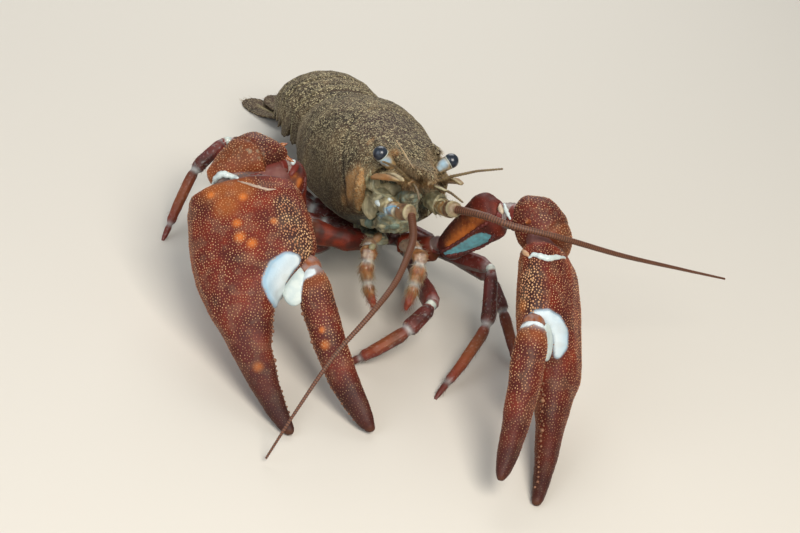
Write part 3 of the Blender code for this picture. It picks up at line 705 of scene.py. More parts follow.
def grow(base, kind, name, values, nodes=()):
    # the plain mesh that a tree makes on an object; the modifier is gone again afterwards
    tree = trees[kind]
    grown = base.modifiers.new(kind, "NODES")
    grown.node_group = tree
    for item in tree.interface.items_tree:
        if item.in_out == "INPUT" and item.name in values:
            grown[item.identifier] = values[item.name]
    bpy.context.view_layer.update()
    mesh = bpy.data.meshes.new_from_object(base.evaluated_get(bpy.context.evaluated_depsgraph_get()))
    base.modifiers.remove(grown)
    mesh.name = name
    for vertex in mesh.vertices:
        vertex.co.z = max(vertex.co.z, 0)
    piece = bpy.data.objects.new(name, mesh)
    scene.collection.objects.link(piece)
    return settle(piece, nodes)


print("node trees made")


# Trunk
trunk = {
    "pitch": 12.0,              # head up, degrees
    "cell": 0.42,               # mm
    "rounds": 45,               # of easing
}
snout = nodePoints("carapace")
snout = snout[snout[:, 1].argmin()] * (0, 1, 1) + (nodePoints("carapace")[:, 0].mean(), 0, 0)


def toTrunk(points):
    # x to the animal's left, y back from the rostrum's tip, z up from it
    offset = np.asarray(points) - snout
    turn = math.radians(trunk["pitch"])
    y = offset[:, 1] * math.cos(turn) - offset[:, 2] * math.sin(turn)
    z = offset[:, 1] * math.sin(turn) + offset[:, 2] * math.cos(turn)
    return offset[:, 0], y, z


carapace = {
    "length": 65.0,             # mm from rostrum to rear edge
    "hairs": {"Spacing": 0.3 * mm, "Length": 1.5 * mm, "Width": 0.055 * mm, "Lean": 1.6},
    # grooves and ridges: where they lie and their half-widths, in mm
    "cervical": (42.0, 17.0, 0.9),      # y on the midline, how far it runs forward, half-width
    "areola": (2.4, 0.5),       # half-width between the two back lines, half-width of a line
    "hem": (2.4, 0.5),          # from the rear edge, half-width
    "ridge": (7.0, 0.8),        # behind the eye: from the midline, half-width
    "orbit": ((8.6, 2.0), (14.2, 1.6), (-0.6, 1.8)),    # hollow at the eye: place, half-width in x, y, z
    "opening": (11.4, 10.3, 9.7, 2.3),      # round the face: half-width, half-height, depth, squareness
    # how high each of them stands out, or deep where it is below zero, in mm
    "lifts": {"cervical": -0.75, "areola": -0.4, "hem": -0.45, "edge": 0.5, "trough": -0.45,
              "ridge": 0.55, "orbit": -0.9, "front": -1.5, "lip": 0.15},
    # places along the trunk, and there the height of the lower edge or the half-width of the rostrum
    "rim": ((15, 23, 40, 56, 65), (-19.5, -21.6, -22.6, -22.0, -17.0)),
    "half": ((0, 4.2, 5.4, 8, 12, 17, 20), (0.3, 1.0, 2.3, 2.7, 3.6, 4.6, 4.8)),
    # softness, then pixel of the picture and radius in mm
    "seen": {
        "maroon": (0.8, ((385, 118, 5.0), (401, 126, 5.0), (372, 122, 4.0), (350, 105, 3.5))),
        "cheek": (0.6, ((346, 200, 1.4), (347, 192, 2.0), (350, 183, 2.4), (356, 174, 2.0))),
        "brow": (0.7, ((394, 153, 1.3), (372, 141, 1.2))),
        # painted shadow: a dark band across the flank
        "shade": (0.8, ((318, 165, 5.0), (326, 190, 5.0), (334, 214, 4.0))),
        "socket": (0.6, ((388, 162, 1.0), (440, 168, 1.0))),
    },
}


def carapaceParts(x, y, z, down):
    # share of each groove, ridge and hollow at every point, 0 to 1, and the rostrum's half-width in mm
    side = np.abs(x)
    middle, forward, width = carapace["cervical"]
    groove = hill(y, middle - forward * ease(0.15, 1.75, down), width) * (1 - ease(2.0, 2.4, down))
    spread, lineWidth = carapace["areola"]
    lineAt = spread + 2.6 * ease(54, 63, y) + 1.8 * (1 - ease(42, 47, y))
    hemAt, hemWidth = carapace["hem"]
    rostrum = (1 - ease(17, 22, y)) * ease(-2.4, -1.2, z)
    half = np.interp(y, *carapace["half"])
    ridgeAt, ridgeWidth = carapace["ridge"]
    ridge = hill(side, ridgeAt - 0.05 * (y - 16), ridgeWidth) * ease(14, 17, y) * (1 - ease(22, 30, y))
    across, along, upright = (hill(value, *at) for value, at in zip((side, y, z), carapace["orbit"]))
    ahead = y - 13.6 - 0.5 * (0.6 - z)          # how far behind the leaning front edge
    wide, high, deep, square = carapace["opening"]
    spreadOut = (np.abs(x / wide) ** square + np.abs((z + deep) / high) ** square) ** (1 / square)
    return {
        "cervical": groove * (0.6 + 0.4 * ease(0.2, 0.7, down)),
        "areola": hill(side, lineAt, lineWidth) * ease(42.5, 44, y) * ease(-2, 1, z),
        "hem": hill(y, carapace["length"] - hemAt, hemWidth) * (1 - ease(2.2, 2.5, down)),
        "rostrum": rostrum,
        "edge": hill(side, half - 0.5, 0.55) * rostrum,
        "trough": (1 - ease(0.3, 0.75, side / half)) * rostrum * ease(3, 7, y),
        "ridge": ridge * ease(-3, 0, z),
        "orbit": across * along * upright,
        "front": (1 - ease(0.4, 1.5, ahead)) * (1 - ease(0.82, 0.92, spreadOut)) * (1 - ease(-2.6, -1.6, z)),
        "lip": hill(spreadOut, 0.97, 0.05) * (1 - ease(0.6, 2.0, ahead)) * (1 - ease(-2.6, -1.6, z)),
        "half": half,
    }


def makeCarapace():
    shape = nodeShape(["carapace"], trunk["cell"], trunk["rounds"])
    x, y, z = toTrunk(shape["points"])
    down = np.arctan2(np.abs(x), z + 10)        # 0 on the back's midline, about 1.6 on the flank
    flank = ease(1.0, 1.9, down)
    parts = carapaceParts(x, y, z, down)
    lift = sum(high * parts[key] for key, high in carapace["lifts"].items())
    push(shape, lift + 0.22 * lumps(shape["points"], 5.0) + 0.09 * lumps(shape["points"], 1.1))
    x, y, z = toTrunk(shape["points"])
    cheek = hill(y, 20.5, 3.6) * hill(z, -9.5, 5.0) * ease(7, 10, np.abs(x))
    top = ease(-1, 2, z) * (1 - ease(34, 42, y)) * ease(18, 26, y)
    under = ease(2.2, 2.5, down) * ease(17, 20, y)
    rimHeight = np.interp(y, *carapace["rim"])
    rim = hill(z, rimHeight, 0.9) * ease(6, 9, np.abs(x))
    seenAt = {key: photoMask(shape, discs, soft) for key, (soft, discs) in carapace["seen"].items()}
    fringe = 0.45 + 0.55 * ease(0.4, 0.9, np.abs(x) / parts["half"])
    cloudy = 0.7 + 0.6 * lumps(shape["points"], 3.0)
    film = (0.35 + 0.7 * ease(-12, 2, z)) * (0.95 + 0.5 * lumps(shape["points"], 3.5))
    masks = {
        "maroon": np.clip(0.8 * top * cloudy + 0.6 * seenAt["maroon"], 0, 0.9),
        "orange": np.clip(0.5 * cheek + 0.8 * seenAt["cheek"] + 0.15 * parts["edge"] + 0.6 * seenAt["brow"],
                          0, 0.9),
        # shade: mostly painted shade, darker down the flank and in a painted shadow band, partly the flank's
        # own darker brown
        "shade": np.clip(0.4 * flank * ease(20, 30, y) + 0.35 * seenAt["shade"], 0, 1) * (1 - rim),
        # painted shade in the grooves and the eye hollows
        "grooveShade": np.clip(0.6 * parts["cervical"] + 0.55 * parts["areola"] + 0.5 * parts["hem"]
                        + parts["orbit"], 0, 1),
        "rim": np.clip(0.6 * rim + 0.45 * parts["lip"] * ease(-0.2, 0.4, lumps(shape["points"], 1.2)), 0, 1),
        "face": parts["front"],
        "teal": 0.4 * parts["front"] * ease(-0.1, 0.4, lumps(shape["points"], 2.0)),
        "film": np.clip(film, 0, 1) * (1 - 0.3 * seenAt["cheek"]),
        "membrane": 0.35 * under + 0.6 * seenAt["socket"],
        "bristles": parts["rostrum"] * fringe + 0.5 * parts["front"],
        "lie": np.tile(unit((0, -1, -0.3)), (len(x), 1)),
    }
    piece = makePiece("carapace_shell", shape, finish["brown"], ["carapace"], masks)
    grow(piece, "bristles", "carapace_hairs", {**carapace["hairs"], "Finish": finish["seta"]})
    return shape


carapaceShape = makeCarapace()
print("carapace made")


# Abdomen and tail fan
def ringAxes(name):
    # middle of a node and its directions from long to short, from the spread of its points
    points = nodePoints(name)
    middle = points.mean(0)
    turn = np.linalg.svd(points - middle, full_matrices=False)[2]
    return middle, turn


abdomen = {
    "cell": 0.42,
    "rounds": 30,
    # place along a ring and half-width as shares of its length, depth or height in mm
    "groove": (0.3, 0.05, 0.28),
    "lip": (0.93, 0.05, 0.16),
    "hinge": (0.0, 0.08, 0.35),
    "core": (0.93, 1.16),       # joint skin: breadth and length as shares of the ring's
}


def makeRing(name, middle, along):
    shape = nodeShape([name], abdomen["cell"], abdomen["rounds"])
    points = shape["points"]
    run = (points - middle) @ along
    start, end = np.percentile(run, 1), np.percentile(run, 99)
    share = (run - start) / (end - start)
    up = unit(np.cross(np.array((1, 0, 0)), along))
    rise = (points - middle) @ up
    top = ease(-6, 2, rise)
    groove, lip, hinge = (hill(share, *abdomen[key][:2]) for key in ("groove", "lip", "hinge"))
    deep, raised, hinged = (abdomen[key][2] for key in ("groove", "lip", "hinge"))
    push(shape, -deep * groove * top + raised * lip * top - hinged * hinge
         + 0.16 * lumps(points, 4.0) + 0.05 * lumps(points, 1.2))
    masks = {
        "maroon": 0.35 * hill(share, 0.8, 0.1) * top,
        # painted shade: each ring darker towards its lower side
        "shade": 0.55 * (1 - ease(-8, 0, rise)),
        # painted shade in the cross groove and where the ring slips under the one before
        "grooveShade": np.clip(0.8 * groove * top + hill(share, 0.0, 0.07), 0, 1) * 0.8,
        "rim": 0.7 * hill(share, 0.97, 0.035) + 0.3 * hill(share, 0.18, 0.06) * top,
        "film": 0.3 + 0.7 * ease(-6, 3, rise),
    }
    makePiece(f"{name}_shell", shape, finish["brown"], [name], masks)


def ringCore(name, middle, along):
    # joint skin that fills the gaps between one ring and the next
    breadth, length = abdomen["core"]
    offset = nodePoints(name) - middle
    stretch = offset @ along
    points = middle + (offset - np.outer(stretch, along)) * breadth + np.outer(stretch * length, along)
    faces = [tuple(face.vertices) for face in merged([name]).polygons]
    return {"points": points, "faces": faces}


def makeAbdomen():
    names = ["carapace", *(f"abdomen_{k}" for k in range(1, 7)), "telson"]
    middles = [nodePoints(name).mean(0) for name in names]
    cores = []
    for k in range(1, 7):
        along = unit(middles[k + 1] - middles[k - 1])
        makeRing(names[k], middles[k], along)
        cores.append(ringCore(names[k], middles[k], along))
    makePiece("abdomen_joint_skin", together(cores), finish["brown"])


makeAbdomen()

tailFan = {
    "cell": 0.3,
    "rounds": 12,
    "ridge": (0.5, 0.28),       # half-width and height in mm
    "cut": (0.62, 0.018, 0.22),     # cross seam: place and half-width as shares of the length, depth in mm
    "ray": (0.55, 0.05),        # half of the spacing and height in mm
    "fringe": {"Spacing": 0.32 * mm, "Length": 2.2 * mm, "Width": 0.05 * mm, "Lean": 2.0},
}


def makeTailFan():
    for name in ("telson", "endopod_left", "endopod_right", "exopod_left", "exopod_right"):
        shape = nodeShape([name], tailFan["cell"], tailFan["rounds"])
        points = shape["points"]
        middle, turn = ringAxes(name)
        along = turn[0] * np.sign(turn[0][1])
        across = unit(np.cross(along, (0, 0, 1)))
        run = (points - middle) @ along
        share = (run - run.min()) / (run.max() - run.min())
        wide = (points - middle) @ across
        ridgeWidth, ridgeHeight = tailFan["ridge"]
        cutAt, cutWidth, cutDepth = tailFan["cut"]
        rayWidth, rayHeight = tailFan["ray"]
        ridge = hill(wide, 0, ridgeWidth) * (1 - ease(0.6, 0.8, share))
        cut = hill(share, cutAt, cutWidth)
        rays = np.cos(wide / rayWidth * math.pi) * ease(0.62, 0.72, share)
        up = ease(0, 0.5, normalsOf(shape)[:, 2])
        relieved = ridgeHeight * ridge - cutDepth * cut + rayHeight * rays
        push(shape, up * relieved + 0.05 * lumps(points, 2.0))
        masks = {
            "maroon": 0.3 + 0.3 * ease(0.6, 0.9, share),
            # painted shade in the cross groove
            "grooveShade": 0.7 * cut * up,
            "rim": 0.5 * ridge * up,
            "film": np.full(len(share), 0.4),
            "bristles": ease(0.86, 0.95, share) * (1 - np.abs(normalsOf(shape)[:, 2])),
            "lie": np.tile(along, (len(points), 1)),
        }
        piece = makePiece(f"{name}_blade", shape, finish["brown"], [name], masks)
        grow(piece, "bristles", f"{name}_fringe",
             {**tailFan["fringe"], "Finish": finish["seta"]})


makeTailFan()
print("abdomen and tail fan made")


# Tints that a fold of skin or shell can take: how much of each layer of its finish
tintKeys = ("pale", "orange", "red", "dark", "teal", "blue", "cream")
tints = {
    "plain": {},
    "brown": {"dark": 0.35, "orange": 0.3},
    "tan": {"orange": 0.5, "dark": 0.15},
    "cream": {"cream": 0.5},
    "olive": {"cream": 0.15, "dark": 0.25},
    "blue": {"blue": 0.85},
    "teal": {"teal": 0.6, "dark": 0.1},
    "white": {"pale": 0.85},
    "orange": {"orange": 0.8, "cream": 0.2},
    "gold": {"orange": 0.45, "cream": 0.2},
    "red": {"red": 0.9},
}


# Claws
claw = {
    "cell": 0.4,                # mm
    # rounds of easing, and how far each one pushes back out; soft adds rounds and mm of swelling
    "rounds": {"palm": 110, "dactyl": 80, "carpus": 160, "merus": 110, "ischium": 40},
    "outwards": {"palm": 0.512, "dactyl": 0.515, "carpus": 0.506, "merus": 0.51, "ischium": 0.52},
    "soft": {"carpus": (90, 0.42), "merus": (40, 0.25)},
    # granules: spacing and radius in mm, finish, seed
    "granules": {"palm": (0.57, 0.135, "granule", 3), "dactyl": (0.57, 0.135, "granule", 4),
                 "carpus": (0.62, 0.14, "granule", 5), "merus": (0.75, 0.1, "knob", 6)},
    # knobs of a cutting edge: first, last and step as shares of its length, radius in mm,
    # how fast the sizes change, radius added to the large ones, which ones those are
    "teeth": {"palm": ((0.53, 0.95, 0.02), 0.24, 2.4, 0.3, (4, 9)),
              "dactyl": ((0.14, 0.93, 0.035), 0.22, 1.9, 0.25, (3, 8))},
    "wrist": (5.6, 0.58),       # joint skin: radius in mm, height as a share of it
    "elbow": (3.3, 1.0),
    "base": 1.9,
    "thorn": (2.2, 0.75),       # length and radius in mm
    "smallThorn": (1.4, 0.6),
    # blue-white patch behind the base of the finger: pixel of the picture and radius in mm, as for
    # the orange spots, the brighter red and the other fields below
    "patch": {
        "right": ((294, 261, 1.6), (288, 263, 2.4), (281, 271, 3.0), (276, 282, 3.2), (277, 294, 2.8),
                  (280, 304, 2.0), (281, 313, 0.9)),
        "left": ((528, 321, 1.0), (537, 317, 1.5), (548, 318, 1.9), (556, 324, 2.2), (561, 333, 2.2),
                 (561, 344, 1.9), (558, 354, 1.0)),
    },
    "spots": {
        "right": ((237, 223, 0.9), (240, 237, 1.1), (252, 243, 1.0), (274, 221, 0.7), (211, 195, 0.8),
                  (243, 197, 0.8), (258, 367, 1.0)),
        "left": ((582, 383, 0.9),),
    },
    "glow": {"right": ((218, 186, 4.5), (240, 188, 3.5), (226, 205, 3.0)), "left": ((521, 306, 1.6),)},
    # dark field with large pale granules behind the finger
    "field": {"right": ((284, 203, 2.6), (290, 215, 3.6), (296, 228, 4.2), (302, 242, 4.0), (308, 256, 2.6)),
              "left": ((533, 266, 1.8), (531, 277, 2.8), (531, 290, 3.4), (532, 303, 3.0))},
    "dactylSkin": {
        "right": ((312, 272, 0.9), (304, 275, 1.4), (301, 282, 1.2), (300, 292, 0.8), (300, 300, 0.4)),
        "left": ((522, 326, 0.6), (534, 321, 0.8), (545, 326, 0.9), (549, 336, 0.6), (550, 348, 0.3)),
    },
    # skin web in the gape: pixels on palm and finger that it joins, half-length and half-thickness in mm,
    # spread as a share of the gap
    "web": {"right": ((286, 284), (303, 283), 5.0, 0.9, 1.5),
            "left": ((555, 343), (546, 340), 4.4, 0.8, 1.1)},
    "dactylSpots": {"right": ((325, 345, 0.9), (322, 330, 0.6)), "left": ()},
    "knob": {"right": (310, 262), "left": None},    # shell knob over the hinge, in pixels
    "knobSize": 1.9,            # its radius in mm
    # blue-green band, orange field, golden line and dark surround
    "merusTeal": {"right": ((285, 200, 1.5), (294, 203, 1.5)),
                  "left": ((446, 254, 0.6), (455, 251, 0.9), (464, 247, 1.3), (473, 243, 1.7),
                           (481, 239, 1.8), (487, 238, 1.4))},
    "merusOrange": {"right": ((291, 172, 1.2), (298, 180, 1.2)),
                    "left": ((448, 243, 1.2), (457, 235, 1.9), (465, 228, 2.1), (473, 222, 1.8),
                             (480, 217, 1.4))},
    "merusGold": {"right": ((298, 186, 0.5), (300, 180, 0.5)),
                  "left": ((449, 245, 0.7), (457, 240, 1.0), (465, 233, 1.0), (473, 227, 0.7))},
    "merusDark": {"right": ((296, 166, 1.5),), "left": ((446, 232, 2.2), (456, 222, 2.4), (468, 212, 2.0))},
    # rows of dark knobs along both edges of the blue-green band
    "merusEdge": {"left": (((440, 252), (450, 247), (460, 241), (470, 234), (480, 227), (487, 223)),
                           ((446, 256), (458, 254), (470, 251), (481, 247), (489, 242), (494, 235))),
                  "right": (((300, 196), (304, 188), (305, 178)),)},
    "carpusSilt": {"right": ((255, 157, 2.2), (262, 160, 1.4), (250, 150, 1.2), (256, 165, 1.2)),
                   "left": ((566, 206, 1.5),)},
    # folds of skin and shell rims at wrist and elbow: radius in mm, tint, pixels along it
    "folds": {
        "right": ((0.9, "white", ((213, 184), (216, 178), (222, 174), (230, 175), (239, 179))),
                  (0.4, "tan", ((238, 181), (248, 184), (258, 187), (268, 190), (278, 189))),
                  (0.7, "white", ((292, 164), (296, 158), (301, 154), (305, 158)))),
        "left": ((0.8, "white", ((529, 258), (534, 254), (541, 257), (549, 259), (557, 257), (566, 258))),
                 (0.7, "orange", ((520, 246), (524, 252), (530, 257))),
                 (0.55, "white", ((503, 201), (505, 207), (508, 214), (511, 221))),
                 (0.7, "gold", ((500, 204), (501, 210), (503, 216))),
                 (0.5, "olive", ((507, 200), (512, 197), (518, 195), (525, 197)))),
    },
    "elbowPale": {"right": ((292, 158, 1.4), (298, 153, 1.3), (303, 160, 1.2)), "left": ((503, 208, 0.9),)},
}
jointSkins = []                 # cuffs that bridge the gaps between limb parts
thorns = []


def skinBetween(first, second, size, flat=1.0, up=(0, 0, 1), counts=(8, 8), depth=1.6, red=0.0):
    # soft cuff from inside one part to inside the next, with shallow folds
    # its ends take the colour of the shell that they slip into, its middle takes it by the share red
    near = meeting(first, second)
    a, outA = endOf(first, near, counts[0])
    b, outB = endOf(second, near, counts[1])
    middle = (a + b) / 2 + (outA + outB) * 0.15
    stops = [a - outA * depth, a - outA * 0.2, middle, b - outB * 0.2, b - outB * depth]
    path = []
    for p, q in zip(stops, stops[1:]):
        path += [p + (q - p) * t / 4 for t in range(4)]
    path.append(stops[-1])
    radii = [size * (0.95 + 0.05 * math.cos(k * math.pi)) for k in range(len(path))]
    shape = tinted(tube(path, radii, 24, up, flat))
    push(shape, 0.18 * lumps(shape["points"], 1.4))
    run = np.repeat(np.linspace(-1, 1, len(path)), 24)
    shape["red"] = np.concatenate([np.maximum(ease(0.2, 0.55, np.abs(run)), red), (1, 1)])
    shape["dark"] = 0.4 * shape["red"]
    jointSkins.append(shape)


def tinted(shape, **amounts):
    for key in tintKeys:
        shape[key] = np.full(len(shape["points"]), float(amounts.get(key, 0)))
    return shape


def gathered(shapes):
    return {key: np.concatenate([shape[key] for shape in shapes]) for key in tintKeys}


def foldAlong(seen, pixels, radius, tint, group):
    # a soft ridge laid where the pixels of the picture fall on a surface, thin at both ends
    stops = []
    for a, b in zip(pixels, pixels[1:]):
        count = max(2, int(math.dist(a, b) / 1.2))
        for t in range(count):
            hit = photoPoint(seen, (a[0] + (b[0] - a[0]) * t / count, a[1] + (b[1] - a[1]) * t / count))
            if hit is not None and (not stops or np.linalg.norm(hit - stops[-1]) < 2.5):
                stops.append(hit)
    if len(stops) < 4:
        return
    stops = np.array(stops)
    for number in range(3):
        stops[1:-1] = (stops[:-2] + 2 * stops[1:-1] + stops[2:]) / 4
    thick = [radius * (0.35 + 0.65 * math.sin(math.pi * k / (len(stops) - 1))) for k in range(len(stops))]
    shape = tube(stops, thick, 10)
    push(shape, 0.4 * radius * lumps(shape["points"], 0.8))
    group.append(tinted(shape, **tints[tint]))


def thorn(root, heading, length, radius):
    # horny spine with a sharp tip that bends upwards; each step is a share of its length and of its radius
    heading = unit(heading)
    rise = np.array((0, 0, 0.12 * length))
    steps = ((-0.35, 0.9), (0, 1.0), (0.25, 0.8), (0.5, 0.55), (0.75, 0.3), (1, 0.06))
    path = [root + heading * length * t + rise * t * t for t, share in steps]
    thorns.append(tube(path, [radius * share for t, share in steps], 10))


def photoHits(seen, discs):
    hits = [photoPoint(seen, disc) for disc in chained(discs)]
    return [hit for hit in hits if hit is not None]


def photoSpread(shape, discs, inward):
    # how far each point lies outwards from the middle line of a chain of discs, in mm
    hits = np.array(photoHits(surface(shape), discs))
    nearest = hits[np.linalg.norm(shape["points"][:, None] - hits[None], axis=2).argmin(1)]
    return (nearest - shape["points"]) @ inward


def beads(name, places, sizes, material):
    # knobs of their own radii in mm on a row of places
    mesh = bpy.data.meshes.new("places")
    mesh.from_pydata([Vector(place) * mm for place in places], [], [])
    mesh.attributes.new("own", "FLOAT", "POINT").data.foreach_set("value", np.asarray(sizes, np.float32))
    holder = bpy.data.objects.new("places", mesh)
    scene.collection.objects.link(holder)
    grow(holder, "beads", name, {"Size": 1.0 * mm, "Finish": material})
    bpy.data.objects.remove(holder)


def growTeeth(part, name, shape, run, aside):
    # worn knobs on the points furthest out on a finger's cutting edge, one for each step of its length
    steps, size, beat, larger, large = claw["teeth"][part]
    row = []
    for step in np.arange(*steps):
        near = np.flatnonzero(np.abs(run - step) < 0.008)
        if len(near):
            row.append(shape["points"][near[aside[near].argmax()]])
    sizes = [size + 0.12 * math.sin(k * beat) ** 2 + larger * (k in large) for k in range(len(row))]
    beads(name + "_teeth", row, sizes, finish["tooth"])


def growGranules(part, name, piece):
    spacing, size, material, seed = claw["granules"][part]
    grow(piece, "granules", name + "_granules",
         {"Spacing": spacing * mm, "Size": size * mm, "Finish": finish[material], "Seed": seed})


def clawLay(side):
    # names, places and directions that the pieces of one claw share
    palm = "claw_palm_" + side
    dactyl = "claw_dactyl_" + side
    wrist = meeting("claw_carpus_" + side, palm)
    hinge = meeting(palm, dactyl)
    palmPoints = nodePoints(palm)
    dactylPoints = nodePoints(dactyl)
    tip = palmPoints[np.linalg.norm(palmPoints - wrist, axis=1).argmax()]
    dactylTip = dactylPoints[np.linalg.norm(dactylPoints - hinge, axis=1).argmax()]
    axis = unit(tip - wrist)
    inward = dactylPoints.mean(0) - palmPoints.mean(0)
    inward = unit(inward - axis * (inward @ axis))
    up = np.cross(axis, inward)
    return {
        "side": side, "palm": palm, "dactyl": dactyl, "wrist": wrist, "hinge": hinge,
        "axis": axis, "inward": inward, "up": up * np.sign(up[2]), "length": np.linalg.norm(tip - wrist),
        "reach": unit(dactylTip - hinge), "fingerLength": np.linalg.norm(dactylTip - hinge),
    }


def makePalm(lay):
    side, name, axis, inward = (lay[key] for key in ("side", "palm", "axis", "inward"))
    shape = nodeShape([name], claw["cell"], claw["rounds"]["palm"], claw["outwards"]["palm"])
    offset = shape["points"] - lay["wrist"]
    share = offset @ axis / lay["length"]
    aside = offset @ inward
    high = offset @ lay["up"]
    patch = photoMask(shape, chained(claw["patch"][side]), 0.22)
    edge = 4 * patch * (1 - patch)
    # painted shade in the corner where the finger meets the palm
    gape = hill(share, 0.47, 0.06) * ease(-1, 3, aside)
    shoulder = np.clip(normalsOf(shape) @ inward, -1, 1) * 1.1 * hill(share, 0.035, 0.045)
    shape["points"] = shape["points"] + np.outer(shoulder, inward)
    push(shape, (0.2 * lumps(shape["points"], 6.0) + 0.05 * lumps(shape["points"], 1.4)) * (1 - patch)
         + 0.3 * patch - 0.22 * edge)
    spot = photoMask(shape, claw["spots"][side], 0.9)
    glow = photoMask(shape, claw["glow"][side], 0.6)
    clear = np.clip(1 - 1.6 * patch, 0, 1) * ease(0.015, 0.05, share) * (1 - ease(0.965, 0.99, share))
    inner = photoMask(shape, chained(claw["field"][side]), 0.45)
    # painted shade: the patch's outer side and its sunk edge tinted blue-grey
    shaded = ease(-1.5, 2.5, photoSpread(shape, claw["patch"][side], inward))
    masks = {
        "maroon": np.clip(0.92 * inner + 0.35 * ease(0.55, 0.95, share), 0, 1),
        "orange": 0.5 * glow + 0.25 * (1 - ease(-4, 1, high)),
        "spot": 0.75 * spot,
        "membrane": np.maximum(patch, 0.5 * (1 - ease(0.0, 0.03, share))),
        "shadow": np.clip(0.75 * patch * shaded + 0.5 * edge, 0, 1),
        "tip": 0.5 * ease(0.975, 1.0, share),
        # dark: painted shade in the finger's corner, and the shell's own darkening towards the tip
        "dark": np.clip(0.5 * gape + 0.65 * ease(0.4, 1.0, share), 0, 0.9) * (1 - patch),
        "silt": 0.12 * ease(0.05, 0.4, lumps(shape["points"], 2.2)),
        "granules": clear,
        "swell": (1 + 0.75 * inner) * (1 - 0.45 * ease(0.5, 1.0, share)),
        "lie": np.tile(axis, (len(aside), 1)),
    }
    piece = makePiece(name + "_shell", shape, finish["red"], [name], masks)
    growGranules("palm", name, piece)
    growTeeth("palm", name, shape, share, aside)
    return shape


def makeDactyl(lay):
    # movable finger with the skin at its base
    side, name, hinge, reach, inward = (lay[key] for key in ("side", "dactyl", "hinge", "reach", "inward"))
    shape = nodeShape([name], claw["cell"], claw["rounds"]["dactyl"], claw["outwards"]["dactyl"])
    share = (shape["points"] - hinge) @ reach / lay["fingerLength"]
    outer = (shape["points"] - hinge) @ unit(inward - reach * (inward @ reach))
    push(shape, 0.2 * lumps(shape["points"], 5.0) + 0.05 * lumps(shape["points"], 1.4))
    base = 1 - ease(0.03, 0.09, share)
    skin = photoMask(shape, chained(claw["dactylSkin"][side]), 0.25)
    masks = {
        "membrane": np.clip(0.3 * base + skin, 0, 1),
        "orange": 0.25 * hill(share, 0.1, 0.05) * (1 - skin),
        "maroon": 0.35 * (1 - ease(0.2, 0.6, share)) + 0.4 * ease(0.6, 1.0, share),
        "tip": 0.5 * ease(0.965, 1.0, share),
        "dark": 0.65 * ease(0.3, 1.0, share),
        "silt": 0.12 * ease(0.05, 0.4, lumps(shape["points"], 2.2)),
        "granules": (1 - base) * (1 - skin) * (1 - ease(0.95, 0.98, share)),
        "swell": 1.05 - 0.45 * ease(0.5, 1.0, share),
        "lie": np.tile(reach, (len(share), 1)),
    }
    if claw["dactylSpots"][side]:
        masks["spot"] = 0.75 * photoMask(shape, claw["dactylSpots"][side], 0.9)
    piece = makePiece(name + "_shell", shape, finish["red"], [name], masks)
    growGranules("dactyl", name, piece)
    growTeeth("dactyl", name, shape, share, -outer)
    return shape


def makeHinge(lay):
    # body of shell between palm and finger: steps along the finger and radii in mm
    steps = ((-2.4, 1.8), (-1.6, 2.4), (-0.8, 2.7), (0.0, 2.8), (0.8, 2.7), (1.6, 2.3))
    path = [lay["hinge"] + lay["reach"] * step for step, radius in steps]
    shaft = tube(path, [radius for step, radius in steps], 32)
    push(shaft, 0.25 * lumps(shaft["points"], 1.4))
    masks = {
        "orange": 0.4 + 0.5 * lumps(shaft["points"], 1.5),
        "maroon": np.full(len(shaft["points"]), 0.4),
        "membrane": 0.1 + 0.2 * lumps(shaft["points"], 1.0),
    }
    makePiece(lay["dactyl"] + "_hinge", shaft, finish["red"], masks=masks)


def makeKnob(lay, palm):
    # shell knob over the hinge, where the picture shows one
    if claw["knob"][lay["side"]]:
        seat = photoPoint(surface(palm), claw["knob"][lay["side"]])
        radii = claw["knobSize"] * np.array((1.15, 0.8, 0.7))
        knob = ball(seat - lay["up"] * 0.2, (lay["inward"], lay["axis"], lay["up"]), radii, 24)
        push(knob, 0.3 * lumps(knob["points"], 1.2))
        makePiece(lay["dactyl"] + "_knob", knob, finish["red"],
                  masks={"orange": np.full(len(knob["points"]), 0.6)})


def makeWeb(lay, palm, dactyl):
    # soft skin in the corner between the fingers
    first, second, long, thick, spread = claw["web"][lay["side"]]
    first = photoPoint(surface(palm), first)
    second = photoPoint(surface(dactyl), second)
    across = second - first
    broad = np.linalg.norm(across) / 2
    across = unit(across)
    lengthways = unit(lay["reach"] - across * (lay["reach"] @ across))
    web = ball((first + second) / 2 - lay["up"] * 0.9, (across, lengthways, np.cross(across, lengthways)),
               np.array((broad * spread, long, thick)), 28)
    jointSkins.append(tinted(web, pale=0.5))


# the rest of the claw limb: parts that each one lies between, place and depth of its crease,
# strength of its dark blotches and slot
clawLimb = {
    "carpus": {"ends": ("merus", "palm"), "crease": (0.86, 0.3), "blotch": 0.2, "slot": "claw_red"},
    "merus": {"ends": ("ischium", "carpus"), "crease": (0.9, 0.3), "blotch": 0.2, "slot": "leg_red"},
    "ischium": {"ends": (None, "merus"), "crease": (0.86, 0.0), "blotch": 0.7, "slot": "leg_red"},
}


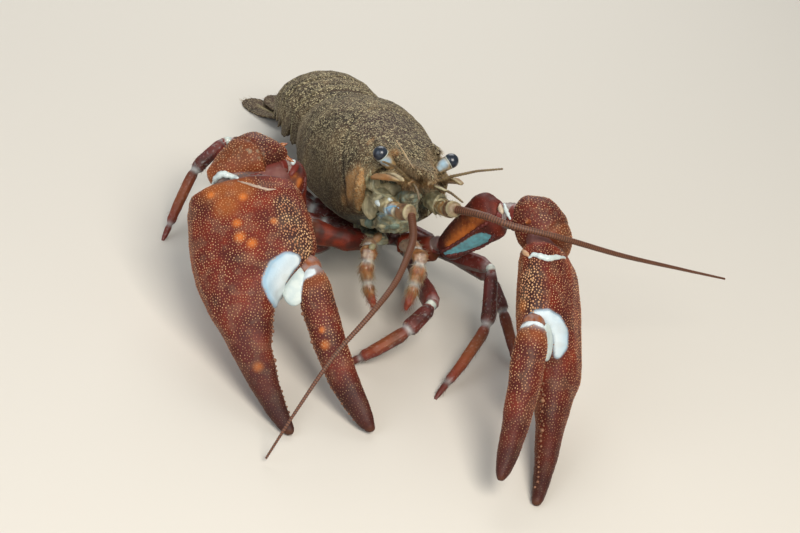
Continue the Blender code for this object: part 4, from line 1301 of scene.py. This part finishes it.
def makeLimbPart(lay, part):
    look = clawLimb[part]
    name = f"claw_{part}_{lay['side']}"
    shape = nodeShape([name], claw["cell"] * 0.85, claw["rounds"][part], claw["outwards"][part])
    if part in claw["soft"]:
        soften(shape, *claw["soft"][part])
    before, after = look["ends"]
    end = meeting(name, f"claw_{after}_{lay['side']}")
    start = meeting(name, f"claw_{before}_{lay['side']}" if before else "sternum")
    run = unit(end - start)
    points = shape["points"]
    share = (points - start) @ run / np.linalg.norm(end - start)
    rise = points[:, 2] - points[:, 2].mean()
    upper = normalsOf(shape)[:, 2]
    creaseAt, creaseDepth = look["crease"]
    crease = hill(share, creaseAt, 0.035)
    furrow = hill(share, 0.45, 0.3) * hill((points - start) @ np.cross(run, lay["up"]), 0.0, 0.9)
    furrow = furrow * (part == "carpus")
    push(shape, 0.22 * lumps(points, 3.5) + 0.06 * lumps(points, 1.2) - creaseDepth * crease
         - 0.4 * furrow * ease(0, 0.5, upper))
    joint = (1 - ease(1.6, 2.6, np.linalg.norm(points - start, axis=1))) * (part != "ischium")
    if part == "carpus":
        joint = np.maximum(joint, 0.5 * ease(-0.7, -0.3, (points - end) @ lay["axis"]))
    else:
        joint = np.maximum(joint, 1 - ease(1.6, 2.6, np.linalg.norm(points - end, axis=1)))
    masks = {
        "maroon": 0.3 * ease(0, 3, rise) + look["blotch"] * ease(-0.1, 0.3, lumps(points, 2.5)),
        "orange": 0.3 * (1 - ease(-4, 0, rise)) + 0.2 * ease(0.75, 0.9, share),
        "membrane": 0.6 * joint,
        # dark: painted shade in the carpus furrow, and a dark line at the joint crease
        "dark": 0.35 * crease + 0.4 * furrow,
        "granules": 1 - joint,
        "swell": np.full(len(share), 1.0),
        "lie": np.tile(run, (len(share), 1)),
    }
    if part == "merus":
        dressMerus(lay["side"], name, shape, masks, lumps(points, 0.7), upper)
    if part == "carpus":
        silted = 0.5 * photoMask(shape, claw["carpusSilt"][lay["side"]], 0.9) + 0.2
        masks["silt"] = silted * ease(0.0, 0.5, lumps(points, 0.9)) * ease(0.0, 0.8, upper)
        setThorns(lay, points, start)
    piece = makePiece(name + "_shell", shape, finish["red"], [name], masks)
    if part in claw["granules"]:
        growGranules(part, name, piece)
    return shape


def dressMerus(side, name, shape, masks, rough, upper):
    # orange and blue-green fields with ragged edges, and rows of dark knobs
    teal = photoMask(shape, chained(claw["merusTeal"][side]), 0.3)
    teal = ease(0.3, 0.7, teal + 0.5 * rough * hill(teal, 0.5, 0.35))
    glow = photoMask(shape, chained(claw["merusOrange"][side]), 1.0)
    masks["teal"] = np.clip((0.8 + 0.3 * rough) * teal + 0.6 * (1 - ease(-0.9, -0.55, upper)), 0, 1)
    masks["orange"] = np.clip(0.6 * glow ** 1.5 * (0.85 + 0.8 * rough), 0, 1)
    masks["spot"] = 0.5 * photoMask(shape, chained(claw["merusGold"][side]), 1.0)
    masks["maroon"] = np.clip(0.15 + photoMask(shape, claw["merusDark"][side], 0.7), 0, 0.9)
    masks["membrane"] = np.maximum(masks["membrane"], photoMask(shape, claw["elbowPale"][side], 0.4))
    masks["granules"] = masks["granules"] * (1 - teal) * 0.6
    seen = surface(shape)
    for number, row in enumerate(claw["merusEdge"][side]):
        hits = photoHits(seen, row)
        sizes = [0.34 + 0.2 * math.sin(k * 2.1) ** 2 for k in range(len(hits))]
        beads(f"{name}_edge_{number}", hits, sizes, finish["leg"])


def setThorns(lay, points, start):
    # two thorns on the inner side of the wrist
    axis, inward, up = (lay[key] for key in ("axis", "inward", "up"))
    root = points[((points - start) @ (inward + axis * 0.5)).argmax()]
    thorn(root, inward + axis * 0.8, *claw["thorn"])
    thorn(root - axis * 3.4 - inward * 0.7 + up * 0.6, inward * 1.2 + up * 0.5, *claw["smallThorn"])


def makeClaw(side):
    lay = clawLay(side)
    palm = makePalm(lay)
    dactyl = makeDactyl(lay)
    makeHinge(lay)
    makeKnob(lay, palm)
    makeWeb(lay, palm, dactyl)
    limb = {part: makeLimbPart(lay, part) for part in clawLimb}
    size, flat = claw["wrist"]
    skinBetween("claw_carpus_" + side, lay["palm"], size, flat, lay["up"], (12, 14), 2.4, red=0.85)
    size, flat = claw["elbow"]
    skinBetween("claw_merus_" + side, "claw_carpus_" + side, size, flat, counts=(12, 12), depth=2.0, red=0.5)
    seen = surface(together([palm, limb["carpus"], limb["merus"]] + jointSkins[-2:]))
    for radius, tint, pixels in claw["folds"][side]:
        foldAlong(seen, pixels, radius, tint, jointSkins)
    skinBetween("claw_ischium_" + side, "claw_merus_" + side, claw["base"], counts=(10, 12), red=0.6)


for side in sides:
    makeClaw(side)
print("claws made")


# Walking legs
leg = {
    "cell": 0.26,
    "rounds": 10,
    # joints along hip to knee and knee to foot, as shares of the length, and the half-width of a groove
    "upper": ((0.24, 0.46), 0.022),
    "lower": ((0.36, 0.86), 0.022),
    "hair": {"Spacing": 0.75 * mm, "Length": 1.1 * mm, "Width": 0.04 * mm, "Lean": 1.6},
    "knee": (1.15, 1.2),        # joint skin: radius in mm, how much larger in the first pair
}


def makeLegPart(name, part, pair, knee):
    shape = nodeShape([name], leg["cell"], leg["rounds"])
    course = courseOf(name, knee, 8)
    course = course[::-1] if part == "upper" else course
    share, lie = alongCourse(shape["points"], course)
    joints, width = leg[part]
    groove = sum(hill(share, at, width) for at in joints)
    swelling = sum(hill(share, at - 0.045, 0.03) for at in joints)
    pincer = ease(0.8, 0.86, share) * (part == "lower") * (pair < 4)
    nearKnee = ease(0.94, 1.0, share) if part == "upper" else 1 - ease(0.0, 0.05, share)
    push(shape, 0.16 * swelling - 0.26 * groove + 0.06 * lumps(shape["points"], 1.4))
    pale = np.clip(0.5 * groove + 0.3 * nearKnee, 0, 1)
    speckle = ease(0.25, 0.55, lumps(shape["points"], 0.55))
    upwards = normalsOf(shape)[:, 2]
    hairy = 0.25 + 0.75 * pincer
    masks = {
        "pale": np.clip(pale + 0.16 * speckle * (1 - pale), 0, 1),
        "red": 0.4 * ease(0.3, 0.9, share) * (1 - pale),
        "orange": 0.35 * hill(share, 0.62, 0.2) * (part == "lower") * ease(-0.2, 0.5, upwards),
        # dark: painted shade on the leg's underside, and the pincer's own darker tips
        "dark": 0.5 * ease(0.0, 0.9, -upwards) * (1 - pale) + 0.3 * pincer,
        "teal": 0.4 * ease(0.3, 0.9, -upwards) * (part == "upper"),
        "bristles": hairy * (part == "lower") * (1 - nearKnee) + 0.12 * (part == "upper"),
        "lie": lie,
    }
    piece = makePiece(name + "_shell", shape, finish["leg"], [name], masks)
    grow(piece, "bristles", name + "_hairs",
         {**leg["hair"], "Finish": finish["seta"], "Seed": pair})


def makeLegs():
    size, larger = leg["knee"]
    for side in sides:
        for pair in range(2, 6):
            upperName, lowerName = (f"leg_{side}_{pair}_{part}" for part in ("upper", "lower"))
            knee = meeting(upperName, lowerName)
            makeLegPart(upperName, "upper", pair, knee)
            makeLegPart(lowerName, "lower", pair, knee)
            skinBetween(upperName, lowerName, size * (larger if pair == 2 else 1.0), depth=1.0)


makeLegs()
print("legs made")


# Head
head = {
    "eye": 1.85,                # radius in mm
    "eyePatch": {"right": ((383, 161, 1.1), (387, 162, 0.9)), "left": ((443, 164, 1.1), (440, 168, 0.7))},
    "peduncle": (0.26, 0.47, 0.72),     # joints as shares of the stout base of the long feeler
    "maxilliped": (0.3, 0.5, 0.72),     # joints as shares of its length
    # cell in mm and rounds of easing, then spacing, length in mm and seed of the bristles
    "skin": {"scale": (0.2, 8, 0.3, 1.5, 11), "antennule": (0.17, 6, 0.28, 1.7, 12),
             "peduncle": (0.22, 8, 0.35, 1.1, 13), "maxilliped": (0.22, 8, 0.4, 1.5, 14)},
    "feeler": {"Pitch": 0.62 * mm, "Base": 1.05 * mm, "Tip": 0.3 * mm},
    "mouthHair": {"Spacing": 0.7 * mm, "Length": 1.2 * mm, "Width": 0.04 * mm, "Lean": 1.2},
    # folds of shell and skin between eyes and mouth: radius in mm, tint, pixels of the picture along it
    "folds": {
        "scale edge": (0.26, "brown", ((378, 175), (386, 173), (395, 176), (401, 181), (405, 185))),
        "scale under edge": (0.24, "cream", ((376, 188), (384, 186), (392, 186), (401, 188))),
        "inner cheek": (0.4, "cream", ((374, 180), (373, 186), (375, 191), (379, 194), (385, 195))),
        "outer cheek": (0.4, "olive", ((368, 174), (366, 182), (367, 189), (370, 193), (375, 196))),
        "cheek pleat": (0.34, "cream", ((366, 191), (369, 196), (374, 198), (381, 198))),
        "upper cheek": (0.34, "olive", ((371, 170), (370, 177), (371, 184))),
        "upper pleat": (0.3, "olive", ((376, 196), (381, 194), (385, 196), (389, 198), (394, 196))),
        "blue pleat": (0.22, "blue", ((384, 209), (389, 207), (396, 206), (400, 209))),
        "lower blue pleat": (0.25, "teal", ((376, 214), (384, 214), (392, 212), (398, 213))),
        "teal pleat": (0.36, "teal", ((374, 219), (383, 218), (392, 217), (403, 219))),
        "jaw pleat": (0.4, "teal", ((366, 226), (374, 229), (384, 231), (396, 232))),
        "jaw edge": (0.36, "cream", ((363, 233), (372, 236), (384, 237), (398, 237))),
        "left pleat": (0.3, "cream", ((435, 186), (444, 190), (455, 191))),
        "left cup": (0.32, "cream", ((437, 201), (442, 199), (447, 204), (448, 209))),
        "left jaw": (0.36, "cream", ((416, 228), (424, 223), (428, 216), (429, 208))),
        "left jaw pleat": (0.4, "teal", ((412, 233), (420, 231), (428, 226), (434, 218))),
        "rostrum edge": (0.22, "gold", ((396, 140), (403, 151), (408, 160), (415, 170))),
    },
    # rounded lobes: tint, pixel, half-length, half-width and height in mm, turn in degrees
    "lobes": {
        "jaw tooth": ("white", (378, 203), 1.3, 0.7, 0.6, -25),
        "small tooth": ("white", (390, 200), 0.8, 0.5, 0.5, -10),
        "lower jaw tooth": ("cream", (382, 226), 0.9, 0.7, 0.6, 0),
        "yellow lobe": ("orange", (377, 238), 1.7, 1.1, 1.0, 50),
        "green lobe": ("olive", (372, 247), 1.3, 0.8, 0.8, 60),
        "orange lobe": ("orange", (396, 243), 2.0, 0.9, 0.8, 0),
        "teal lobe": ("teal", (394, 226), 1.4, 1.2, 0.7, 0),
        "outer teal lobe": ("teal", (370, 222), 1.5, 1.2, 0.7, 20),
        "left lobe": ("cream", (430, 240), 1.8, 1.1, 0.8, 30),
        "left brow knob": ("red", (459, 178), 1.0, 0.9, 0.6, 0),
    },
    # swellings that fill the hollow in front of the shell: pixel, pixel whose distance they take,
    # half-width, half-height and depth in mm, turn in degrees, mm further back
    "linings": (
        ((369, 199), (357, 199), 2.2, 5.2, 1.5, 6, 1.2),
        ((370, 219), (360, 218), 2.6, 2.4, 1.5, 0, 1.2),
        ((372, 181), (360, 181), 1.8, 2.8, 1.2, 20, 1.2),
        ((388, 190), (359, 190), 3.6, 2.0, 1.6, -8, 3.4),
    ),
    # blue skin round the mouth: pixels and radii in mm
    "blue": ((390, 209, 1.1), (385, 212, 0.9), (379, 214, 0.8)),
    # swollen edge of the cheek: radius in mm, pixels of the picture along it
    "cheek": (1.5, ((363, 168), (361, 177), (360, 186), (359, 195), (359, 203), (360, 211))),
}
faceFolds = []
faceShapes = [carapaceShape]


def lobeAt(seen, tint, pixel, long, wide, high, turn):
    # a rounded lobe half sunk into the face
    hit, normal = seen.ray_cast(Vector(shot["place"]), photoRay(*pixel))[:2]
    if hit is None:
        return
    right, up = shotAxes()[:2]
    angle = math.radians(turn)
    along = right * math.cos(angle) + up * math.sin(angle)
    along = (along - normal * along.dot(normal)).normalized()
    shape = ball(np.array(hit), (along, normal.cross(along), normal), np.array((long, wide, high)), 22)
    push(shape, 0.1 * lumps(shape["points"], 0.8))
    faceFolds.append(tinted(shape, **tints[tint]))


def liningAt(seen, pixel, anchor, wide, high, deep, turn, back):
    # a swelling on the ray of one pixel, as far off as the surface that the anchor pixel sees
    place = np.array(shot["place"])
    ray = unit(photoRay(*pixel))
    middle = place + ray * ((photoPoint(seen, anchor) - place) @ ray + back)
    right, up, forward = (np.array(axis) for axis in shotAxes())
    angle = math.radians(turn)
    across = right * math.cos(angle) + up * math.sin(angle)
    shape = ball(middle, (across, np.cross(across, forward), forward), np.array((wide, high, deep)), 30)
    push(shape, 0.3 * lumps(shape["points"], 1.3) + 0.1 * lumps(shape["points"], 0.6))
    return shape


def makeEye(side):
    stalk = nodePoints("eyestalk_" + side)
    lens = nodePoints("cornea_" + side)
    root = stalk.mean(0)
    apex = lens[np.linalg.norm(lens - root, axis=1).argmax()]
    look = unit(apex - root)
    radius = head["eye"]
    centre = apex - look * radius
    across = unit(np.cross(look, (0, 0, 1)))
    over = np.cross(across, look)
    turns = np.linspace(-1.35, 1.57, 18)
    dome = [centre + look * radius * math.sin(t) for t in turns]
    dome = tube(dome, [radius * math.cos(t) + 0.001 for t in turns], 32)
    makePiece("cornea_ball_" + side, dome, finish["eye"], ["cornea_" + side])
    rimMiddle = centre - look * 0.42 * radius
    ring = [rimMiddle + (across * math.cos(t) + over * math.sin(t)) * radius * 0.93
            for t in np.linspace(0, 2 * math.pi, 33)]
    faceFolds.append(tinted(tube(ring, [0.1] * len(ring), 8, look), pale=0.55, cream=0.2))
    shape = nodeShape(["eyestalk_" + side], 0.16, 8)
    push(shape, 0.08 * lumps(shape["points"], 0.9))
    patch = photoMask(shape, head["eyePatch"][side], 1.0)
    mottle = ease(-0.1, 0.4, lumps(shape["points"], 0.7))
    masks = {
        "blue": 0.55 * patch,
        "pale": 0.6 * patch,
        "dark": 0.55 * (1 - patch) * mottle,
        "orange": 0.15 * (1 - patch),
    }
    makePiece("eyestalk_skin_" + side, shape, finish["face"], ["eyestalk_" + side], masks)


for side in sides:
    makeEye(side)


def feelerCourse(side):
    # middles of the feeler's rings of six points, from its base to its tip
    course = []
    here = nodePoints("antenna_peduncle_" + side).mean(0)
    for number in range(1, 4):
        course.extend(courseOf(f"antenna_{side}_{number}", here, 6))
        here = course[-1]
    return course


def makeFeeler(side):
    bm = bmesh.new()
    verts = [bm.verts.new(Vector(place) * mm) for place in feelerCourse(side)]
    for a, b in zip(verts, verts[1:]):
        bm.edges.new((a, b))
    mesh = bpy.data.meshes.new("course")
    bm.to_mesh(mesh)
    bm.free()
    holder = bpy.data.objects.new("course", mesh)
    scene.collection.objects.link(holder)
    grow(holder, "rings", "antenna_rings_" + side,
         {**head["feeler"], "Finish": finish["feeler"]},
         [f"antenna_{side}_{number}" for number in range(1, 4)])
    bpy.data.objects.remove(holder)


for side in sides:
    makeFeeler(side)


def makeMouth():
    for name, cell in (("mouth", 0.28), ("sternum", 0.4)):
        shape = nodeShape([name], cell, 14)
        push(shape, 0.35 * lumps(shape["points"], 1.7) + 0.12 * lumps(shape["points"], 0.7))
        mottle = lumps(shape["points"], 1.4)
        masks = {
            "teal": 0.4 + 0.5 * mottle,
            "pale": 0.35 * ease(0.15, 0.5, mottle),
            "dark": 0.5 * ease(0.0, 0.4, -mottle),
            "cream": 0.4 * ease(0.0, 0.4, lumps(shape["points"], 0.8)),
            "blue": 0.7 * photoMask(shape, head["blue"], 0.9),
            "bristles": np.full(len(mottle), 0.5),
            "lie": np.tile((0, -0.5, -0.8), (len(mottle), 1)),
        }
        faceShapes.append(shape)
        piece = makePiece(name + "_skin", shape, finish["face"], [name], masks)
        grow(piece, "bristles", name + "_hairs",
             {**head["mouthHair"], "Finish": finish["seta"], "Seed": 8})


def makeCheek():
    # swollen edge of the shell beside the mouth
    radius, pixels = head["cheek"]
    cheek = []
    foldAlong(surface(carapaceShape), pixels, radius, "plain", cheek)
    shape = together(cheek)
    masks = {"orange": np.full(len(shape["points"]), 0.75), "film": np.full(len(shape["points"]), 0.5)}
    makePiece("cheek_edge", shape, finish["brown"], masks=masks)
    return shape


def makeLining():
    lined = surface(carapaceShape)
    shape = together([liningAt(lined, *lining) for lining in head["linings"]])
    mottle = lumps(shape["points"], 1.0)
    masks = {
        "dark": 0.35 * ease(-0.1, 0.4, mottle),
        "teal": 0.2 * ease(-0.4, 0.2, -mottle),
        "cream": 0.35 + 0.4 * ease(0.1, 0.5, lumps(shape["points"], 0.6)),
    }
    makePiece("cheek_lining", shape, finish["face"], masks=masks)
    return shape


def makeFolds(shapes):
    seen = surface(together(shapes))
    for radius, tint, pixels in head["folds"].values():
        foldAlong(seen, pixels, radius, tint, faceFolds)
    for lobe in head["lobes"].values():
        lobeAt(seen, *lobe)
    makePiece("face_folds", together(faceFolds), finish["lobe"], masks=gathered(faceFolds))


def faceSkin(part, node):
    cell, rounds = head["skin"][part][:2]
    return nodeShape([node], cell, rounds)


def makeFacePart(part, node, shape, masks, material="face", endings=("_shell", "_hairs")):
    # a part of the face with its bristles
    spacing, length, seed = head["skin"][part][2:]
    faceShapes.append(shape)
    piece = makePiece(node + endings[0], shape, finish[material], [node], masks)
    grow(piece, "bristles", node + endings[1],
         {"Spacing": spacing * mm, "Length": length * mm, "Width": 0.055 * mm, "Lean": 1.3,
          "Finish": finish["seta"], "Seed": seed})


def makeScale(side):
    # flat blade beside the long feeler, stiff on its outer edge, fringed on the inner one
    name = "antennal_scale_" + side
    middle, turn = ringAxes(name)
    along = turn[0] * -np.sign(turn[0][1])
    shape = faceSkin("scale", name)
    points = shape["points"]
    outwards = unit(np.cross(along, (0, 0, 1)))
    outwards = outwards * np.sign(outwards[0]) * sides[side]
    wide = (points - middle) @ outwards
    run = (points - middle) @ along
    upper = ease(0, 0.5, normalsOf(shape)[:, 2])
    ridged = 0.3 * hill(wide, 1.2, 0.5) - 0.25 * hill(wide, 0.2, 0.5)
    push(shape, upper * ridged + 0.06 * lumps(points, 1.0))
    masks = {
        "orange": 0.35 * ease(-0.5, 1.0, wide) * (1 - ease(2, 6, run)) + 0.15,
        "cream": 0.5 * hill(wide, -0.4, 0.9) * upper,
        # dark: darker along the groove on the blade's top, and painted shade on its underside
        "dark": 0.35 * hill(wide, 0.3, 0.35) * upper + 0.1 * (1 - upper),
        "bristles": ease(0.6, 1.4, -wide),
        "lie": np.tile(unit(along - outwards), (len(run), 1)),
    }
    makeFacePart("scale", name, shape, masks, endings=("_blade", "_fringe"))


def makeAntennule(side):
    # short stout base near the rostrum, whips ringed further out
    name = "antennule_" + side
    shape = faceSkin("antennule", name)
    points = shape["points"]
    x, y, z = toTrunk(points)
    toBase = np.stack([np.abs(x) - 2.2, np.clip(y, 6, 16) - y, z + 4.6 - 0.2 * (y - 8)], 1)
    far = np.linalg.norm(toBase, axis=1)
    whip = ease(1.6, 2.6, far)
    base = 1 - whip
    rings = np.cos(2 * math.pi * far / 0.75)
    push(shape, 0.05 * rings * whip + 0.06 * lumps(points, 1.0) * base - 0.2 * hill(y, 10.2, 0.3) * base)
    masks = {
        "dark": 0.5 * whip + 0.35 * ease(-0.2, 0.4, lumps(points, 0.9)) * base,
        "orange": 0.35 * whip * ease(0.2, 0.8, rings) + 0.3 * base,
        "cream": 0.3 * ease(0.1, 0.5, lumps(points, 0.8)) * base,
        "bristles": 0.8 * base,
        "lie": np.tile((0, -1, -0.2), (len(y), 1)),
    }
    makeFacePart("antennule", name, shape, masks)


def makePeduncle(side):
    # stout base of the long feeler: rings of shell with pale rims, the last one a brown cup
    name = "antenna_peduncle_" + side
    shape = faceSkin("peduncle", name)
    points = shape["points"]
    first = nodePoints("antenna_" + side + "_1")
    own = nodePoints(name)
    start = own[np.linalg.norm(own - first.mean(0), axis=1).argmax()]
    share, lie = alongCourse(points, courseOf(name, start, 10))
    groove = sum(hill(share, at, 0.025) for at in head["peduncle"])
    rims = sum(hill(share, at - 0.05, 0.03) for at in (*head["peduncle"], 1.0))
    mottle = lumps(points, 1.1)
    cup = ease(0.7, 0.76, share)
    push(shape, 0.22 * rims - 0.34 * groove + 0.2 * mottle + 0.4 * cup)
    creamy = 0.3 * rims + 0.35 * hill(share, 0.97, 0.03) + 0.35 * ease(0.1, 0.5, mottle) * (1 - cup)
    masks = {
        "teal": 0.25 * (1 - ease(0.2, 0.5, share)) + 0.25 * mottle,
        "cream": np.clip(creamy, 0, 1),
        "red": 0.35 * cup * (1 - rims),
        "blue": 0.75 * photoMask(shape, head["blue"], 0.9),
        "orange": 0.4 * hill(share, 0.6, 0.1),
        "dark": np.clip(0.45 * groove + 0.3 * cup * (1 - rims) + 0.3 * ease(0.1, 0.5, -mottle), 0, 1),
        "bristles": 0.5 * rims,
        "lie": lie,
    }
    makeFacePart("peduncle", name, shape, masks)


def makeMaxilliped(side):
    # leg-like mouthpart: orange lengths between pale joints, red at its tip, bristly
    name = "maxilliped_" + side
    shape = faceSkin("maxilliped", name)
    own = nodePoints(name)
    start = own[own[:, 1].argmax()]
    share, lie = alongCourse(shape["points"], courseOf(name, start, 8))
    groove = sum(hill(share, at, 0.022) for at in head["maxilliped"])
    swelling = sum(hill(share, at + 0.07, 0.05) for at in head["maxilliped"])
    paleJoints = sum(hill(share, at, 0.03) for at in head["maxilliped"])
    mottle = lumps(shape["points"], 0.9)
    push(shape, 0.22 * swelling - 0.3 * groove + 0.1 * mottle)
    masks = {
        "pale": np.clip(0.55 * paleJoints + 0.2 * (1 - ease(0.1, 0.4, share)), 0, 1),
        "red": 0.85 * ease(0.78, 0.9, share) + 0.3 * hill(share, 0.58, 0.03),
        "dark": 0.3 * ease(0.1, 0.5, -mottle),
        "cream": 0.2 * ease(0.1, 0.5, mottle),
        "bristles": 0.35 + 0.6 * ease(0.4, 0.6, share),
        "lie": lie,
    }
    makeFacePart("maxilliped", name, shape, masks, "mouthpart")


makeMouth()
for side in sides:
    makeScale(side)
    makeAntennule(side)
    makePeduncle(side)
    makeMaxilliped(side)
linings = [makeCheek(), makeLining()]
makeFolds(faceShapes + linings)
print("head made")

makePiece("joint_skins", together(jointSkins), finish["membrane"], masks=gathered(jointSkins))
makePiece("limb_thorns", together(thorns), finish["thorn"])
print("joints made")
